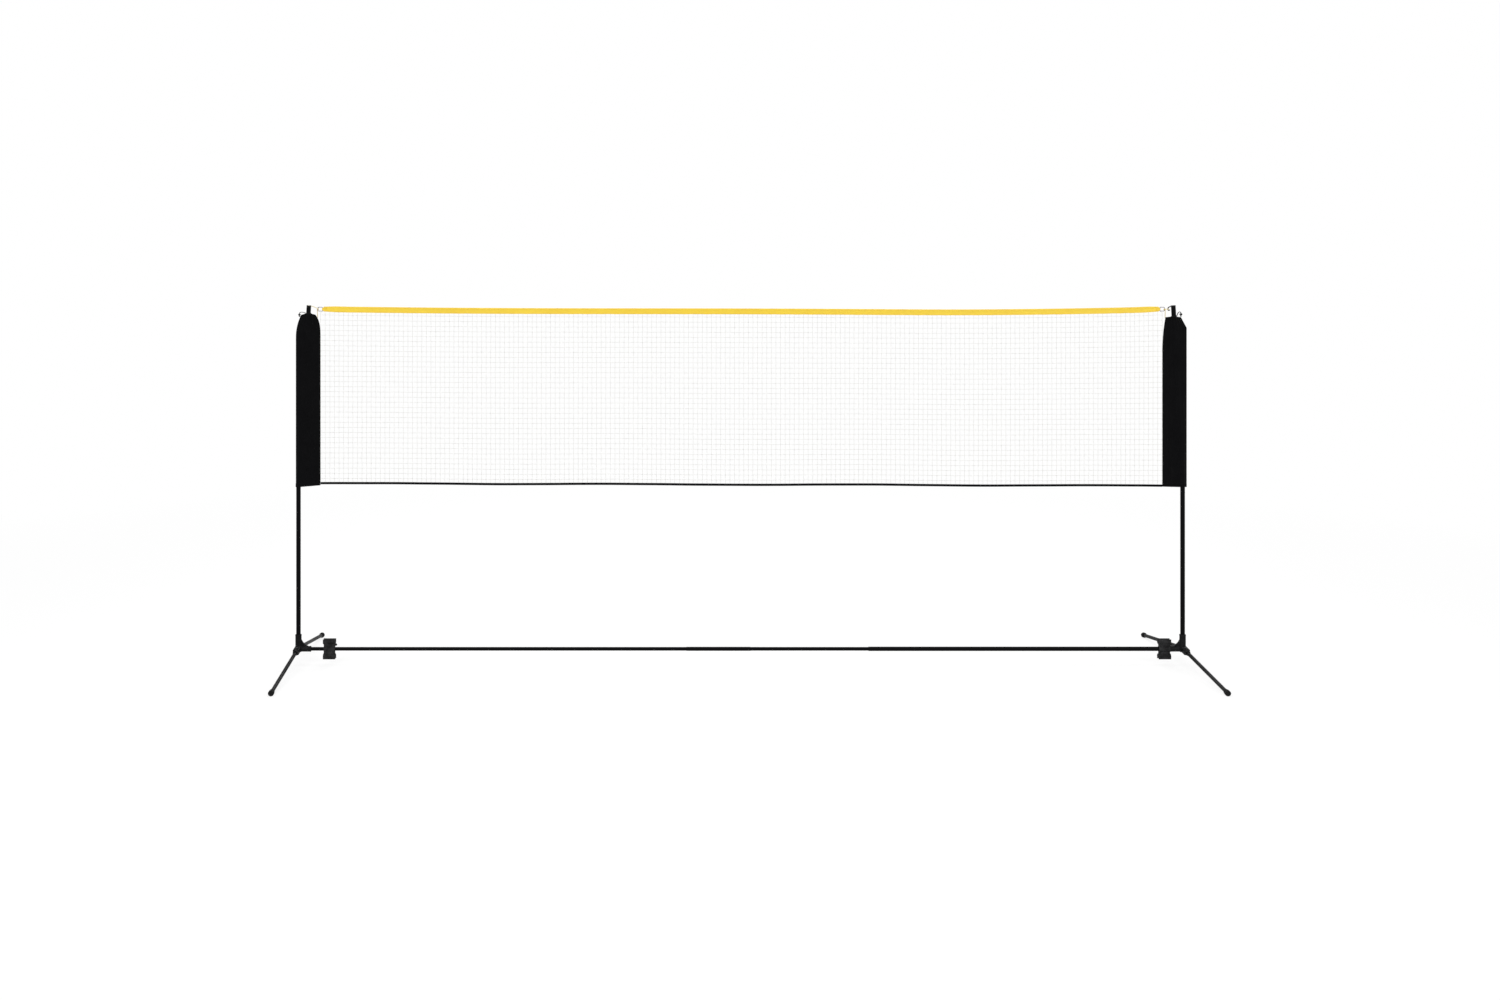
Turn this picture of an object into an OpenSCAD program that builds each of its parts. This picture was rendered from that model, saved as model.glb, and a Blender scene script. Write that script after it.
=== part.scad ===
// Free-standing portable sports net, 4 m wide and 1.6 m high.
// A steel-tube base with fold-in legs carries two plug-together poles and a net in fabric pole sleeves.
// X runs along the net, Y from front to rear, Z up. The origin is on the floor, midway between the poles.

/* [Overall] */
// Distance between the two pole axes at the base
pole_spacing = 3930; // [3000:10:4400]
// Height of the upper end of the pole tubes
pole_end_z = 1589; // [1500:1:1750]
// Height of the crossbar's axis
bar_z = 70; // [62:1:90]

/* [Poles] */
// Outer diameter of the pole tubes
pole_d = 20; // [18:0.5:22]
// Wall of the pole tubes
pole_wall = 1.25; // [1:0.05:1.6]
// Height of the plug joint between a lower and an upper pole
pole_joint_z = 800; // [760:1:840]
// Length of the upper pole's reduced spigot
spigot_len = 60; // [40:1:90]
// Wall of the spigot
spigot_wall = 1.2; // [1:0.1:2]
// Length of the swaged shoulder above the plug joint
shoulder_len = 8; // [4:1:12]
// How far the left pole's top is pulled inwards
left_pull_in = 46; // [20:1:60]
// How far the right pole's top is pulled inwards
right_pull_in = 41; // [20:1:60]

/* [Pole caps] */
// Height of a cap's head above the tube
cap_head_h = 8; // [6:0.5:12]
// Length of a cap's plug inside the tube
cap_plug_len = 18; // [10:1:30]
// Width of the two crossed cord slots in a cap's head
cap_slot_w = 5; // [5:0.5:6]
// Depth of the crossed cord slots
cap_slot_depth = 5; // [5:0.5:6]

/* [Crossbar] */
// Outer diameter of the slim crossbar tubes
slim_bar_d = 16; // [14:0.5:17]
// Wall of the slim crossbar tubes
slim_bar_wall = 1; // [0.8:0.1:1.5]
// Outer diameter of the wide crossbar tube
wide_bar_d = 19; // [18.5:0.5:20]
// Distance of the ferrule's middle from the midplane, to the left
ferrule_shift = 98; // [0:1:300]
// Length of the ferrule over the joint of the slim tubes
ferrule_len = 284; // [120:1:320]
// Wall of the ferrule
ferrule_wall = 0.75; // [0.6:0.05:1.5]
// Distance from the midplane to the wide tube's open end
wide_bar_start = 569; // [300:1:900]
// How deep the slim tube plugs into the wide one
bar_overlap = 60; // [30:1:120]

/* [Elbows] */
// Wall of the socket round a pole
pole_socket_wall = 3.7; // [3:0.1:5]
// Height of the pole socket above the crossbar's axis
pole_socket_rise = 64; // [56:1:90]
// Floor under a pole's end
pole_socket_floor = 4; // [3:0.5:6]
// Outer diameter of the crossbar socket
bar_socket_d = 24.5; // [24:0.5:27]
// Distance of the crossbar socket's mouth from the pole axis
bar_socket_reach = 56; // [53:1:56]
// How far the bead at a socket's mouth stands out
bead = 0.6; // [0.4:0.1:1]
// Length of the bead at a socket's mouth
bead_len = 6; // [4:0.5:9]
// Thickness of the gusset web between the two sockets
gusset_t = 6; // [4:0.5:9]
// How far the gusset runs along the crossbar from the pole axis
gusset_run = 45; // [32:1:45]
// How far the gusset climbs above the crossbar's axis
gusset_rise = 42; // [30:1:48]
// Radius of the gusset's hollow edge
gusset_r = 55; // [40:1:90]

/* [Legs] */
// Distance of a leg's hinge pin from the pole axis
hinge_offset = 33; // [32:0.5:38]
// Distance of a foot's tip from the net's plane
leg_reach = 515; // [400:5:600]
// Height of the leg's axis at the foot's tip
foot_axis_z = 11; // [10:0.5:11.5]
// Outer diameter of the leg tubes
leg_d = 16; // [14:0.5:17]
// Wall of the leg tubes
leg_wall = 1; // [0.8:0.1:1.5]
// Width and height of the hinge knuckle
knuckle_w = 27; // [25:0.5:28]
// Rounding of the knuckle's long edges
knuckle_r = 6; // [3:0.5:8]
// Distance of the knuckle's mouth from its pin
knuckle_len = 34; // [34:1:46]
// Depth of the leg tube in its knuckle
knuckle_depth = 18; // [14:1:18]
// Length of the knuckle's block against the elbow's ears
knuckle_block = 6; // [5:0.5:8]
// Outer diameter of the knuckle's collar round the leg tube
knuckle_collar_d = 22; // [20:0.5:24]
// Thickness of each of the elbow's two hinge ears
ear_t = 5.5; // [4.5:0.5:6.5]
// Diameter of the hinge pins
pin_d = 6; // [5:0.5:7]
// Diameter of a hinge pin's heads
pin_head_d = 11; // [9:0.5:12]
// Height of a hinge pin's heads
pin_head_h = 2; // [1.5:0.5:3]

/* [Foot caps] */
// Outer diameter of the foot caps
foot_cap_d = 24; // [24:0.5:26]
// Outer diameter of a foot cap's mouth
foot_mouth_d = 20.5; // [20:0.5:23]
// Length of the foot caps
foot_cap_len = 27; // [24:1:40]
// Length over which a foot cap widens from its mouth
foot_flare = 12; // [8:1:15]
// Thickness of a foot cap's closed end
foot_cap_end = 4; // [3:0.5:6]
// Depth of the grip grooves round a foot cap
foot_groove = 0.8; // [0.5:0.1:1.2]

/* [Storage clips] */
// Distance of the left clip from the left pole axis
left_clip_offset = 138; // [110:1:300]
// Distance of the right clip from the right pole axis
right_clip_offset = 82; // [82:1:300]
// Length of the cradles along the crossbar
cradle_len = 55; // [50:1:58]
// Wall of the cradles
cradle_wall = 2.6; // [2:0.1:3.2]
// Half of the cradle's open angle
cradle_open = 62; // [55:1:70]
// Width of the raised rim at each end of a cradle
rim_w = 5; // [3:0.5:8]
// How far a rim stands out from its cradle
rim_h = 1.6; // [1:0.2:2.4]
// Length of a cradle's flared lips
lip_len = 6; // [4:0.5:7]
// Length of the collar that grips the crossbar
collar_len = 50; // [42:1:50]
// Wall of the collar
collar_wall = 2.8; // [2.2:0.1:3.2]
// Thickness of the neck between collar and cradle
neck_t = 10; // [6:0.5:12]
// How far the thumb tab reaches along the crossbar from the clip's middle
tab_reach = 34; // [33:0.5:35]
// Thickness of the thumb tab
tab_t = 4; // [3:0.5:5]

/* [Pole sleeves] */
// Distance of the left sleeve's top below the pole's end
left_sleeve_drop = 28; // [24:1:60]
// Length of the left sleeve
left_sleeve_len = 771; // [740:1:790]
// Distance from the left pole axis to the sleeve's sewn inner edge
left_inner_edge = 97.5; // [85:0.5:115]
// Distance from the left pole axis to the sleeve's outer edge
left_outer_edge = 11.5; // [11.5:0.5:25]
// Distance of the right sleeve's top below the pole's end
right_sleeve_drop = 42; // [38:1:60]
// Length of the right sleeve
right_sleeve_len = 757; // [730:1:780]
// Distance from the right pole axis to the sleeve's sewn inner edge
right_inner_edge = 89.5; // [80:0.5:110]
// Distance from the right pole axis to the sleeve's outer edge
right_outer_edge = 18; // [11.5:0.5:25]
// Thickness of the sleeve fabric with its lining
sleeve_wall = 1.2; // [1:0.1:1.6]
// How much the inner corner of the left sleeve's hem lies above the outer one
left_hem_rise = 7; // [0:1:20]
// How much the inner corner of the right sleeve's hem lies above the outer one
right_hem_rise = 1; // [0:1:20]
// Depth of the gathers at a sleeve's top
gather_depth = 3; // [1:0.5:5]
// Depth of the long folds down a sleeve
fold_depth = 1.8; // [0.5:0.1:3]

/* [Net] */
// Distance of the top tape's ends below the pole's end
tape_drop = 9; // [7:0.5:11]
// Height of the top tape
tape_h = 31; // [24:1:45]
// Thickness of the top tape over both layers
tape_t = 3.2; // [2.8:0.1:4]
// How far the top tape sags below its ends
tape_sag = 13.5; // [0:0.5:40]
// Distance of the tape's lowest point from the midplane, to the right
tape_low_x = 850; // [-1000:10:1200]
// Power of the tape's sag curve
tape_sag_power = 1.6; // [1.2:0.1:2.2]
// Distance from the top tape's ends to the bottom tape's middle, on the left
left_net_depth = 774; // [740:1:790]
// Distance from the top tape's ends to the bottom tape's middle, on the right
right_net_depth = 785; // [750:1:800]
// Height of the bottom tape
hem_h = 10; // [8:1:20]
// Thickness of the bottom tape
hem_t = 3; // [2.6:0.1:4]
// Half height of the bottom tape's slack waves
hem_wave = 1.5; // [0:0.5:3]
// Depth of the net's edge inside the top tape
tape_seam = 12; // [8:1:16]
// Depth of the net's edge inside the bottom tape
hem_seam = 4; // [3:0.5:6]
// Thickness of the net
net_t = 1.6; // [1.2:0.1:1.8]
// Width of the net's strands
strand_w = 3; // [2:0.5:5]
// Number of gaps along the net
net_columns = 37; // [20:1:37]
// Number of gaps down the net
net_rows = 8; // [5:1:8]

/* [Net fittings] */
// Width of the metal rings between their wire's middles
ring_w = 21; // [19:0.5:26]
// Height of the metal rings between their wire's middles
ring_h = 17; // [16:0.5:22]
// Wire diameter of the metal rings
ring_wire = 3; // [2.5:0.5:3.5]
// Distance from the left pole axis to the ring's outer bar
left_ring_offset = 86.5; // [80:0.5:95]
// Distance from the right pole axis to the ring's outer bar
right_ring_offset = 80.5; // [76:0.5:90]
// Thickness of the elastic tie bands
band_t = 1.8; // [1.2:0.1:2]
// Height of the elastic tie bands
band_h = 3; // [2:0.5:4]
// Thickness of the corner cords and drawcords
cord_d = 2.4; // [2:0.1:3]
// Wire diameter of the tension hook
hook_d = 4.4; // [3.6:0.1:4.6]
// Distance of the tension hook's bend from the right pole axis
hook_reach = 24; // [21:0.5:28]
// Diameter of the cord locks
lock_d = 9; // [7:0.5:11]
// Length of the cord locks
lock_len = 12; // [10:0.5:16]
// Height of the left tie's hitch above the middle of the ring
tie_rise = 2.6; // [1:0.1:3]
// Distance between the middles of a drawcord's two strands in its cord lock
strand_gap = 3.4; // [3.2:0.1:4]

/* [Hidden] */
$fn = 48;
// Radial clearance of a plug or a running fit
fit = 0.05;
// Clearance of a part that only lies in its seat
play = 0.2;
// Gap between a fabric piece and its neighbour
soft_gap = 0.3;
// Length by which a cutting shape runs past what it cuts
past = 1;

LEFT = -1;
RIGHT = 1;
FRONT = -1;
REAR = 1;

mould_black = "#1a1a1c";
tube_black = "#121214";
fabric_black = "#0d0d0f";
tape_yellow = "#f2cf49";
net_ivory = "#e9e7da";
steel_grey = "#8d8a90";

half_spacing = pole_spacing / 2;
// Sockets of the elbow
pole_socket_d = pole_d + 2 * (fit + pole_socket_wall);
pole_socket_bottom = bar_z - pole_socket_d / 2;
pole_seat_z = pole_socket_bottom + pole_socket_floor;
bar_seat_x = pole_d / 2 + fit + 3;
// Legs, measured from the hinge pin along the leg
droop = atan((bar_z - foot_axis_z) / (leg_reach - hinge_offset));
leg_len = (leg_reach - hinge_offset) / cos(droop);
tongue_t = knuckle_w - 2 * ear_t - play;
tongue_r = knuckle_w / 2 - 1.5;
knuckle_shoulder = knuckle_w / 2 + play;
tube_seat = knuckle_len - knuckle_depth;
// Grip grooves round a foot cap
groove_pitch = 4;
groove_w = 1.6;
// Poles, and the plugs that go into their tubes
spigot_d = pole_d - 2 * pole_wall - 2 * fit;
function lean(side) = atan((side < 0 ? left_pull_in : right_pull_in) / (pole_end_z - pole_joint_z));
function lean_x(side, z) = max(0, z - pole_joint_z) * tan(lean(side));
// Clips
cradle_r = leg_d / 2 + play;
// Sleeves: [top, length, inner edge, outer edge, inner shoulder, outer shoulder, hem rise],
// a shoulder being [inset at the top, height over which it fades, power of its curve]
left_sleeve_form = [pole_end_z - left_sleeve_drop, left_sleeve_len, left_inner_edge, left_outer_edge,
    [27, 120, 4], [27, 110, 2.2], left_hem_rise];
right_sleeve_form = [pole_end_z - right_sleeve_drop, right_sleeve_len, right_inner_edge, right_outer_edge,
    [14, 150, 2], [27, 50, 1], right_hem_rise];
function sleeve_form(side) = side < 0 ? left_sleeve_form : right_sleeve_form;
// Net
tape_end_z = pole_end_z - tape_drop;
function ring_offset(side) = side < 0 ? left_ring_offset : right_ring_offset;
function ring_x(side) = side * (half_spacing - ring_offset(side));
eye_r = ring_wire / 2 + play + 1.6;
ring_corner = 4;
eye_h = ring_h - 2 * ring_corner - 2 * play;
function eye_x(side) = ring_x(side) - side * ring_w;
function net_x(side) = side * (half_spacing - sleeve_form(side)[2] - soft_gap);
function share(x) = (x - net_x(LEFT)) / (net_x(RIGHT) - net_x(LEFT));
function tape_span(x) = x < tape_low_x ? tape_low_x - eye_x(LEFT) : eye_x(RIGHT) - tape_low_x;
function tape_z(x) = tape_end_z - tape_sag * (1 - pow(abs(x - tape_low_x) / tape_span(x), tape_sag_power));
function hem_z(x) = tape_end_z - left_net_depth - share(x) * (right_net_depth - left_net_depth)
    + hem_wave * sin(360 * 3.5 * share(x));

// ---- Frames ----

// Floor point under a pole, with +x pointing to the middle of the net
module at_pole(side) {
    translate([side * half_spacing, 0, 0])
        if (side > 0) mirror([1, 0, 0]) children();
        else children();
}

// Hinge pin of a leg, with +y pointing out along the leg and +z along the pin
module at_leg(end) {
    if (end < 0) mirror([0, 1, 0]) at_rear_leg() children();
    else at_rear_leg() children();
}

module at_rear_leg() {
    translate([0, hinge_offset, bar_z]) rotate([-droop, 0, 0]) children();
}

// Upper end of a pole tube, with +z along the leaning tube
module at_pole_end(side) {
    at_pole(side) translate([lean_x(side, pole_end_z), 0, pole_end_z]) rotate([0, lean(side), 0])
        children();
}

// ---- Shared shapes ----

module along_x(x_from, x_to, d) {
    translate([x_from, 0, bar_z]) rotate([0, 90, 0]) cylinder(d = d, h = x_to - x_from);
}

module bar_tube(x_from, x_to, outer_d, inner_d) {
    color(tube_black) difference() {
        along_x(x_from, x_to, outer_d);
        along_x(x_from - past, x_to + past, inner_d);
    }
}

// A rectangle with round corners, centred
module soft_rectangle(w, h, r) {
    square([w - 2 * r, h], center = true);
    square([w, h - 2 * r], center = true);
    for (x = [-1, 1], y = [-1, 1])
        translate([x * (w / 2 - r), y * (h / 2 - r)]) circle(r = r);
}

// A round bar with a domed end, standing on z = 0
module domed_bar(d, h, dome) {
    rotate_extrude() {
        square([d / 2, h - dome]);
        square([d / 2 - dome, h]);
        intersection() {
            translate([d / 2 - dome, h - dome]) circle(r = dome);
            square([d / 2, h]);
        }
    }
}

function between(a, b, share) = a + (b - a) * share;
function unit(v) = v / norm(v);
function run(points, i) = unit(points[i + 1] - points[i]);
// Direction of a path at point i
function heading(points, i) = let(last = len(points) - 1)
    i == 0 ? run(points, 0) : i == last ? run(points, last - 1) : unit(run(points, i - 1) + run(points, i));
// A vector square to the path at each point, carried along from the one before
function carried(points, i, side_on) = i == len(points) ? []
    : let(ahead = heading(points, i))
        let(next = unit(side_on - (side_on * ahead) * ahead))
        concat([next], carried(points, i + 1, next));

// A path with each inner corner eased into a curve that starts at a distance before it
function eased(points, reach) = let(last = len(points) - 1) let(curve_steps = 4) [points[0],
    for (i = [1 : last - 1])
        let(a = points[i] - reach * run(points, i - 1))
        let(b = points[i] + reach * run(points, i))
        for (k = [0 : curve_steps])
            between(between(a, points[i], k / curve_steps), between(points[i], b, k / curve_steps),
                k / curve_steps),
    points[last]];

// Round cord or wire along points in space, closed by a flat face at each end.
// first_across is any direction that the path doesn't start along.
module swept_cord(points, d, first_across, cord_sides = 8) {
    across = carried(points, 0, first_across);
    rings = [for (i = [0 : len(points) - 1], j = [0 : cord_sides - 1])
        let(turn = 360 * j / cord_sides)
        points[i] + d / 2 * (cos(turn) * across[i] + sin(turn) * cross(heading(points, i), across[i]))];
    sides = [for (i = [0 : len(points) - 2], j = [0 : cord_sides - 1])
        let(next = (j + 1) % cord_sides)
        let(a = i * cord_sides + j)
        let(b = i * cord_sides + next)
        each [[a + cord_sides, b, a], [a + cord_sides, b + cord_sides, b]]];
    last = len(rings) - cord_sides;
    start_face = [for (j = [0 : cord_sides - 1]) j];
    end_face = [for (j = [cord_sides - 1 : -1 : 0]) last + j];
    polyhedron(rings, concat(sides, [start_face, end_face]));
}

// ---- Base ----

module elbow(bar_d) {
    color(mould_black) difference() {
        union() {
            pole_socket();
            bar_socket();
            gusset();
            for (end = [FRONT, REAR]) at_leg(end) hinge_arm();
        }
        translate([0, 0, pole_seat_z]) cylinder(d = pole_d + 2 * fit, h = pole_socket_rise + pole_socket_d);
        along_x(bar_seat_x, bar_socket_reach + past, bar_d + 2 * fit);
        for (end = [FRONT, REAR]) at_leg(end) hinge_gap();
    }
}

module pole_socket() {
    height = bar_z + pole_socket_rise - pole_socket_bottom;
    translate([0, 0, pole_socket_bottom + height]) mirror([0, 0, 1]) domed_bar(pole_socket_d, height, 3);
    translate([0, 0, bar_z + pole_socket_rise - bead_len]) mouth_bead(pole_socket_d);
}

module bar_socket() {
    along_x(0, bar_socket_reach, bar_socket_d);
    translate([bar_socket_reach - bead_len, 0, bar_z]) rotate([0, 90, 0]) mouth_bead(bar_socket_d);
}

module mouth_bead(d) {
    slope = 2 * bead;
    cylinder(d1 = d, d2 = d + 2 * bead, h = slope);
    translate([0, 0, slope]) cylinder(d = d + 2 * bead, h = bead_len - 2 * slope);
    translate([0, 0, bead_len - slope]) cylinder(d1 = d + 2 * bead, d2 = d, h = slope);
}

// Web with a hollow edge, from the pole socket to the crossbar socket
module gusset() {
    top = [pole_socket_d / 2, gusset_rise];
    foot = [gusset_run, bar_socket_d / 2];
    chord = norm(foot - top);
    outward = [top.y - foot.y, foot.x - top.x] / chord;
    hollow = (top + foot) / 2 + outward * sqrt(pow(gusset_r, 2) - pow(chord / 2, 2));
    translate([0, gusset_t / 2, bar_z]) rotate([90, 0, 0]) linear_extrude(gusset_t) difference() {
        polygon([[0, 0], [0, top.y], top, foot, [foot.x, 0]]);
        translate(hollow) circle(r = gusset_r, $fn = 96);
    }
}

// Arm to a leg's hinge: round towards the fold, square on the outer side as the leg's stop
module hinge_arm() {
    intersection() {
        translate([0, -hinge_offset, 0]) rotate([-90, 0, 0])
            linear_extrude(hinge_offset + knuckle_w / 2) soft_rectangle(knuckle_w, knuckle_w, knuckle_r);
        translate([0, 0, -knuckle_w]) linear_extrude(2 * knuckle_w) {
            circle(d = knuckle_w);
            translate([-knuckle_w / 2, -hinge_offset]) square([knuckle_w, hinge_offset]);
            translate([-knuckle_w / 2, -knuckle_w / 2]) square([knuckle_w / 2, knuckle_w]);
        }
    }
}

// Gap between the ears, and the pin's bore through them
module hinge_gap() {
    translate([-knuckle_w, -tongue_r - 1.5, -tongue_t / 2 - play / 2])
        cube([2 * knuckle_w, knuckle_w + tongue_r, tongue_t + play]);
    translate([0, 0, -knuckle_w]) cylinder(d = pin_d + 0.02, h = 2 * knuckle_w);
}

module left_elbow() { at_pole(LEFT) elbow(slim_bar_d); }
module right_elbow() { at_pole(RIGHT) elbow(wide_bar_d); }

module left_crossbar_tube() {
    bar_tube(bar_seat_x - half_spacing, -ferrule_shift, slim_bar_d, slim_bar_d - 2 * slim_bar_wall);
}

module crossbar_ferrule() {
    bar_tube(-ferrule_shift - ferrule_len / 2, -ferrule_shift + ferrule_len / 2,
        slim_bar_d + 2 * fit + 2 * ferrule_wall, slim_bar_d + 2 * fit);
}

module middle_crossbar_tube() {
    bar_tube(-ferrule_shift, wide_bar_start + bar_overlap, slim_bar_d, slim_bar_d - 2 * slim_bar_wall);
}

module right_crossbar_tube() {
    bar_tube(wide_bar_start, half_spacing - bar_seat_x, wide_bar_d, slim_bar_d + 2 * fit);
}

module lower_pole() {
    color(tube_black) translate([0, 0, pole_seat_z]) difference() {
        cylinder(d = pole_d, h = pole_joint_z - pole_seat_z);
        translate([0, 0, -past]) cylinder(d = pole_d - 2 * pole_wall, h = pole_joint_z);
    }
}

module left_lower_pole() { at_pole(LEFT) lower_pole(); }
module right_lower_pole() { at_pole(RIGHT) lower_pole(); }

// Riveted pin with a domed head against each ear
module hinge_pin() {
    color(steel_grey) {
        translate([0, 0, -knuckle_w / 2]) cylinder(d = pin_d, h = knuckle_w);
        for (end = [0, 1]) mirror([0, 0, end]) translate([0, 0, knuckle_w / 2])
            domed_bar(pin_head_d, pin_head_h, 1.2);
    }
}

module hinge_pins() {
    for (side = [LEFT, RIGHT], end = [FRONT, REAR]) at_pole(side) at_leg(end) hinge_pin();
}

// ---- Legs ----

module leg_knuckle(side, end) {
    at_pole(side) at_leg(end) color(mould_black) difference() {
        union() {
            translate([0, 0, -tongue_t / 2]) linear_extrude(tongue_t) {
                circle(r = tongue_r);
                translate([-tongue_r, 0]) square([2 * tongue_r, knuckle_shoulder + past]);
            }
            translate([0, knuckle_shoulder, 0]) rotate([-90, 0, 0]) knuckle_socket();
        }
        cylinder(d = pin_d + 2 * fit, h = 2 * knuckle_w, center = true);
        translate([0, tube_seat, 0]) rotate([-90, 0, 0]) cylinder(d = leg_d + 2 * fit, h = knuckle_len);
    }
}

// Block against the ears, a short neck and the collar that takes the leg tube, standing on z = 0
module knuckle_socket() {
    height = knuckle_len - knuckle_shoulder;
    linear_extrude(knuckle_block) soft_rectangle(knuckle_w, knuckle_w, knuckle_r);
    translate([0, 0, knuckle_block]) cylinder(d1 = knuckle_w, d2 = knuckle_collar_d, h = 3);
    cylinder(d = knuckle_collar_d, h = height);
    translate([0, 0, height - bead_len]) mouth_bead(knuckle_collar_d);
}

module leg_tube(side, end) {
    at_pole(side) at_leg(end) color(tube_black) translate([0, tube_seat, 0]) rotate([-90, 0, 0])
        difference() {
            cylinder(d = leg_d, h = leg_len - foot_cap_end - tube_seat);
            translate([0, 0, -past]) cylinder(d = leg_d - 2 * leg_wall, h = leg_len);
        }
}

// Push-on cap with grip grooves, cut flat where it stands on the floor
module foot_cap(side, end) {
    at_pole(side) color(mould_black) difference() {
        at_leg(end) translate([0, leg_len - foot_cap_len, 0]) rotate([-90, 0, 0]) difference() {
            union() {
                cylinder(d1 = foot_mouth_d, d2 = foot_cap_d, h = foot_flare);
                translate([0, 0, foot_flare]) domed_bar(foot_cap_d, foot_cap_len - foot_flare, 3);
            }
            translate([0, 0, -past]) cylinder(d = leg_d + 2 * fit, h = foot_cap_len - foot_cap_end + past);
            for (groove = [1, 2, 3]) translate([0, 0, groove_pitch * groove]) foot_groove_cut(groove);
        }
        translate([-foot_cap_d, -2 * leg_reach, -foot_cap_d])
            cube([2 * foot_cap_d, 4 * leg_reach, foot_cap_d]);
    }
}

// Ring that cuts a groove to its depth below the cap's flared side
module foot_groove_cut(groove) {
    side_d = between(foot_mouth_d, foot_cap_d, min(1, groove_pitch * groove / foot_flare));
    difference() {
        cylinder(d = foot_cap_d + past, h = groove_w);
        translate([0, 0, -past]) cylinder(d = side_d - 2 * foot_groove, h = groove_w + 2 * past);
    }
}

module front_left_leg_knuckle() { leg_knuckle(LEFT, FRONT); }
module front_left_leg_tube() { leg_tube(LEFT, FRONT); }
module front_left_foot_cap() { foot_cap(LEFT, FRONT); }
module front_right_leg_knuckle() { leg_knuckle(RIGHT, FRONT); }
module front_right_leg_tube() { leg_tube(RIGHT, FRONT); }
module front_right_foot_cap() { foot_cap(RIGHT, FRONT); }
module rear_left_leg_knuckle() { leg_knuckle(LEFT, REAR); }
module rear_left_leg_tube() { leg_tube(LEFT, REAR); }
module rear_left_foot_cap() { foot_cap(LEFT, REAR); }
module rear_right_leg_knuckle() { leg_knuckle(RIGHT, REAR); }
module rear_right_leg_tube() { leg_tube(RIGHT, REAR); }
module rear_right_foot_cap() { foot_cap(RIGHT, REAR); }

// ---- Storage clips ----

// Extrudes a cross-section of the crossbar along it, centred on x = 0
module across_bar(length) {
    rotate([90, 0, 90]) linear_extrude(length, center = true) children();
}

// Open ring: a circle band with a wedge cut out towards +y
module open_ring(r, wall, half_open) {
    far = 2 * (r + wall);
    difference() {
        circle(r = r + wall);
        circle(r = r);
        polygon([[0, 0], [far * sin(half_open), far * cos(half_open)], [0, 2 * far],
            [-far * sin(half_open), far * cos(half_open)]]);
    }
}

// Cross-section of one cradle with its two flared lips, opening towards +y
module cradle_section(wall) {
    open_ring(cradle_r, wall, cradle_open);
    for (flip = [-1, 1]) {
        mouth = (cradle_r + cradle_wall / 2) * [flip * sin(cradle_open), cos(cradle_open)];
        translate(mouth) rotate(-flip * 25) {
            circle(d = cradle_wall);
            translate([-cradle_wall / 2, 0]) square([cradle_wall, lip_len]);
            translate([0, lip_len]) circle(d = cradle_wall);
        }
    }
}

// Clip with a collar that grips the crossbar and a cradle for a folded leg above and below it
module storage_clip(bar_d) {
    collar_r = bar_d / 2 + 2 * fit;
    neck_from = collar_r + collar_wall / 2;
    neck_to = hinge_offset - cradle_r - cradle_wall / 2;
    color(mould_black) {
        across_bar(collar_len) rotate(-90) open_ring(collar_r, collar_wall, 50);
        for (flip = [0, 1]) mirror([0, 0, flip]) {
            across_bar(collar_len) translate([-neck_t / 2, neck_from]) square([neck_t, neck_to - neck_from]);
            across_bar(cradle_len) translate([0, hinge_offset]) cradle_section(cradle_wall);
            for (end = [-1, 1]) translate([end * (cradle_len - rim_w) / 2, 0, 0]) across_bar(rim_w)
                translate([0, hinge_offset]) open_ring(cradle_r, cradle_wall + rim_h, cradle_open);
        }
        thumb_tab(max(neck_from, bar_socket_d / 2 + bead + 1), neck_to);
    }
}

// Flat tab beside the upper neck, with a round end
module thumb_tab(z_from, z_to) {
    tab_r = (z_to - z_from) / 2;
    translate([0, tab_t / 2, (z_from + z_to) / 2]) rotate([90, 0, 0]) linear_extrude(tab_t) {
        translate([0, -tab_r]) square([tab_reach - tab_r, 2 * tab_r]);
        translate([tab_reach - tab_r, 0]) circle(r = tab_r);
    }
}

module left_storage_clip() {
    translate([left_clip_offset - half_spacing, 0, bar_z]) storage_clip(slim_bar_d);
}

module right_storage_clip() {
    translate([half_spacing - right_clip_offset, 0, bar_z]) storage_clip(wide_bar_d);
}

// ---- Upper poles ----

// Round bar that leans with an upper pole, from the plug joint's height to beyond the pole's end
module leaning_bar(side, d, z_from, overrun) {
    angle = lean(side);
    translate([0, 0, pole_joint_z]) rotate([0, angle, 0]) translate([0, 0, z_from])
        cylinder(d = d, h = (pole_end_z - pole_joint_z) / cos(angle) - z_from + overrun);
}

// Tube that leans inwards from the plug joint, with a reduced spigot that stands upright in the lower pole
module upper_pole(side) {
    at_pole(side) color(tube_black) difference() {
        union() {
            difference() {
                leaning_bar(side, pole_d, -pole_d / 4, 0);
                translate([-pole_d, -pole_d, pole_joint_z - 2 * pole_d])
                    cube([2 * pole_d, 2 * pole_d, 2 * pole_d]);
            }
            translate([0, 0, pole_joint_z - spigot_len]) cylinder(d = spigot_d, h = spigot_len);
        }
        translate([0, 0, pole_joint_z - spigot_len - past])
            cylinder(d = spigot_d - 2 * spigot_wall, h = spigot_len + shoulder_len + 2 * past);
        leaning_bar(side, pole_d - 2 * pole_wall, shoulder_len, past);
    }
}

module left_upper_pole() { upper_pole(LEFT); }
module right_upper_pole() { upper_pole(RIGHT); }

// Plug with a flush head and two crossed cord slots
module pole_cap(side) {
    at_pole_end(side) color(mould_black) difference() {
        union() {
            translate([0, 0, -cap_plug_len]) cylinder(d = spigot_d, h = cap_plug_len);
            domed_bar(pole_d, cap_head_h, 1.5);
        }
        for (turn = [0, 90]) rotate(turn) translate([-cap_slot_w / 2, -pole_d, cap_head_h - cap_slot_depth])
            cube([cap_slot_w, 2 * pole_d, pole_d]);
    }
}

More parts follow.
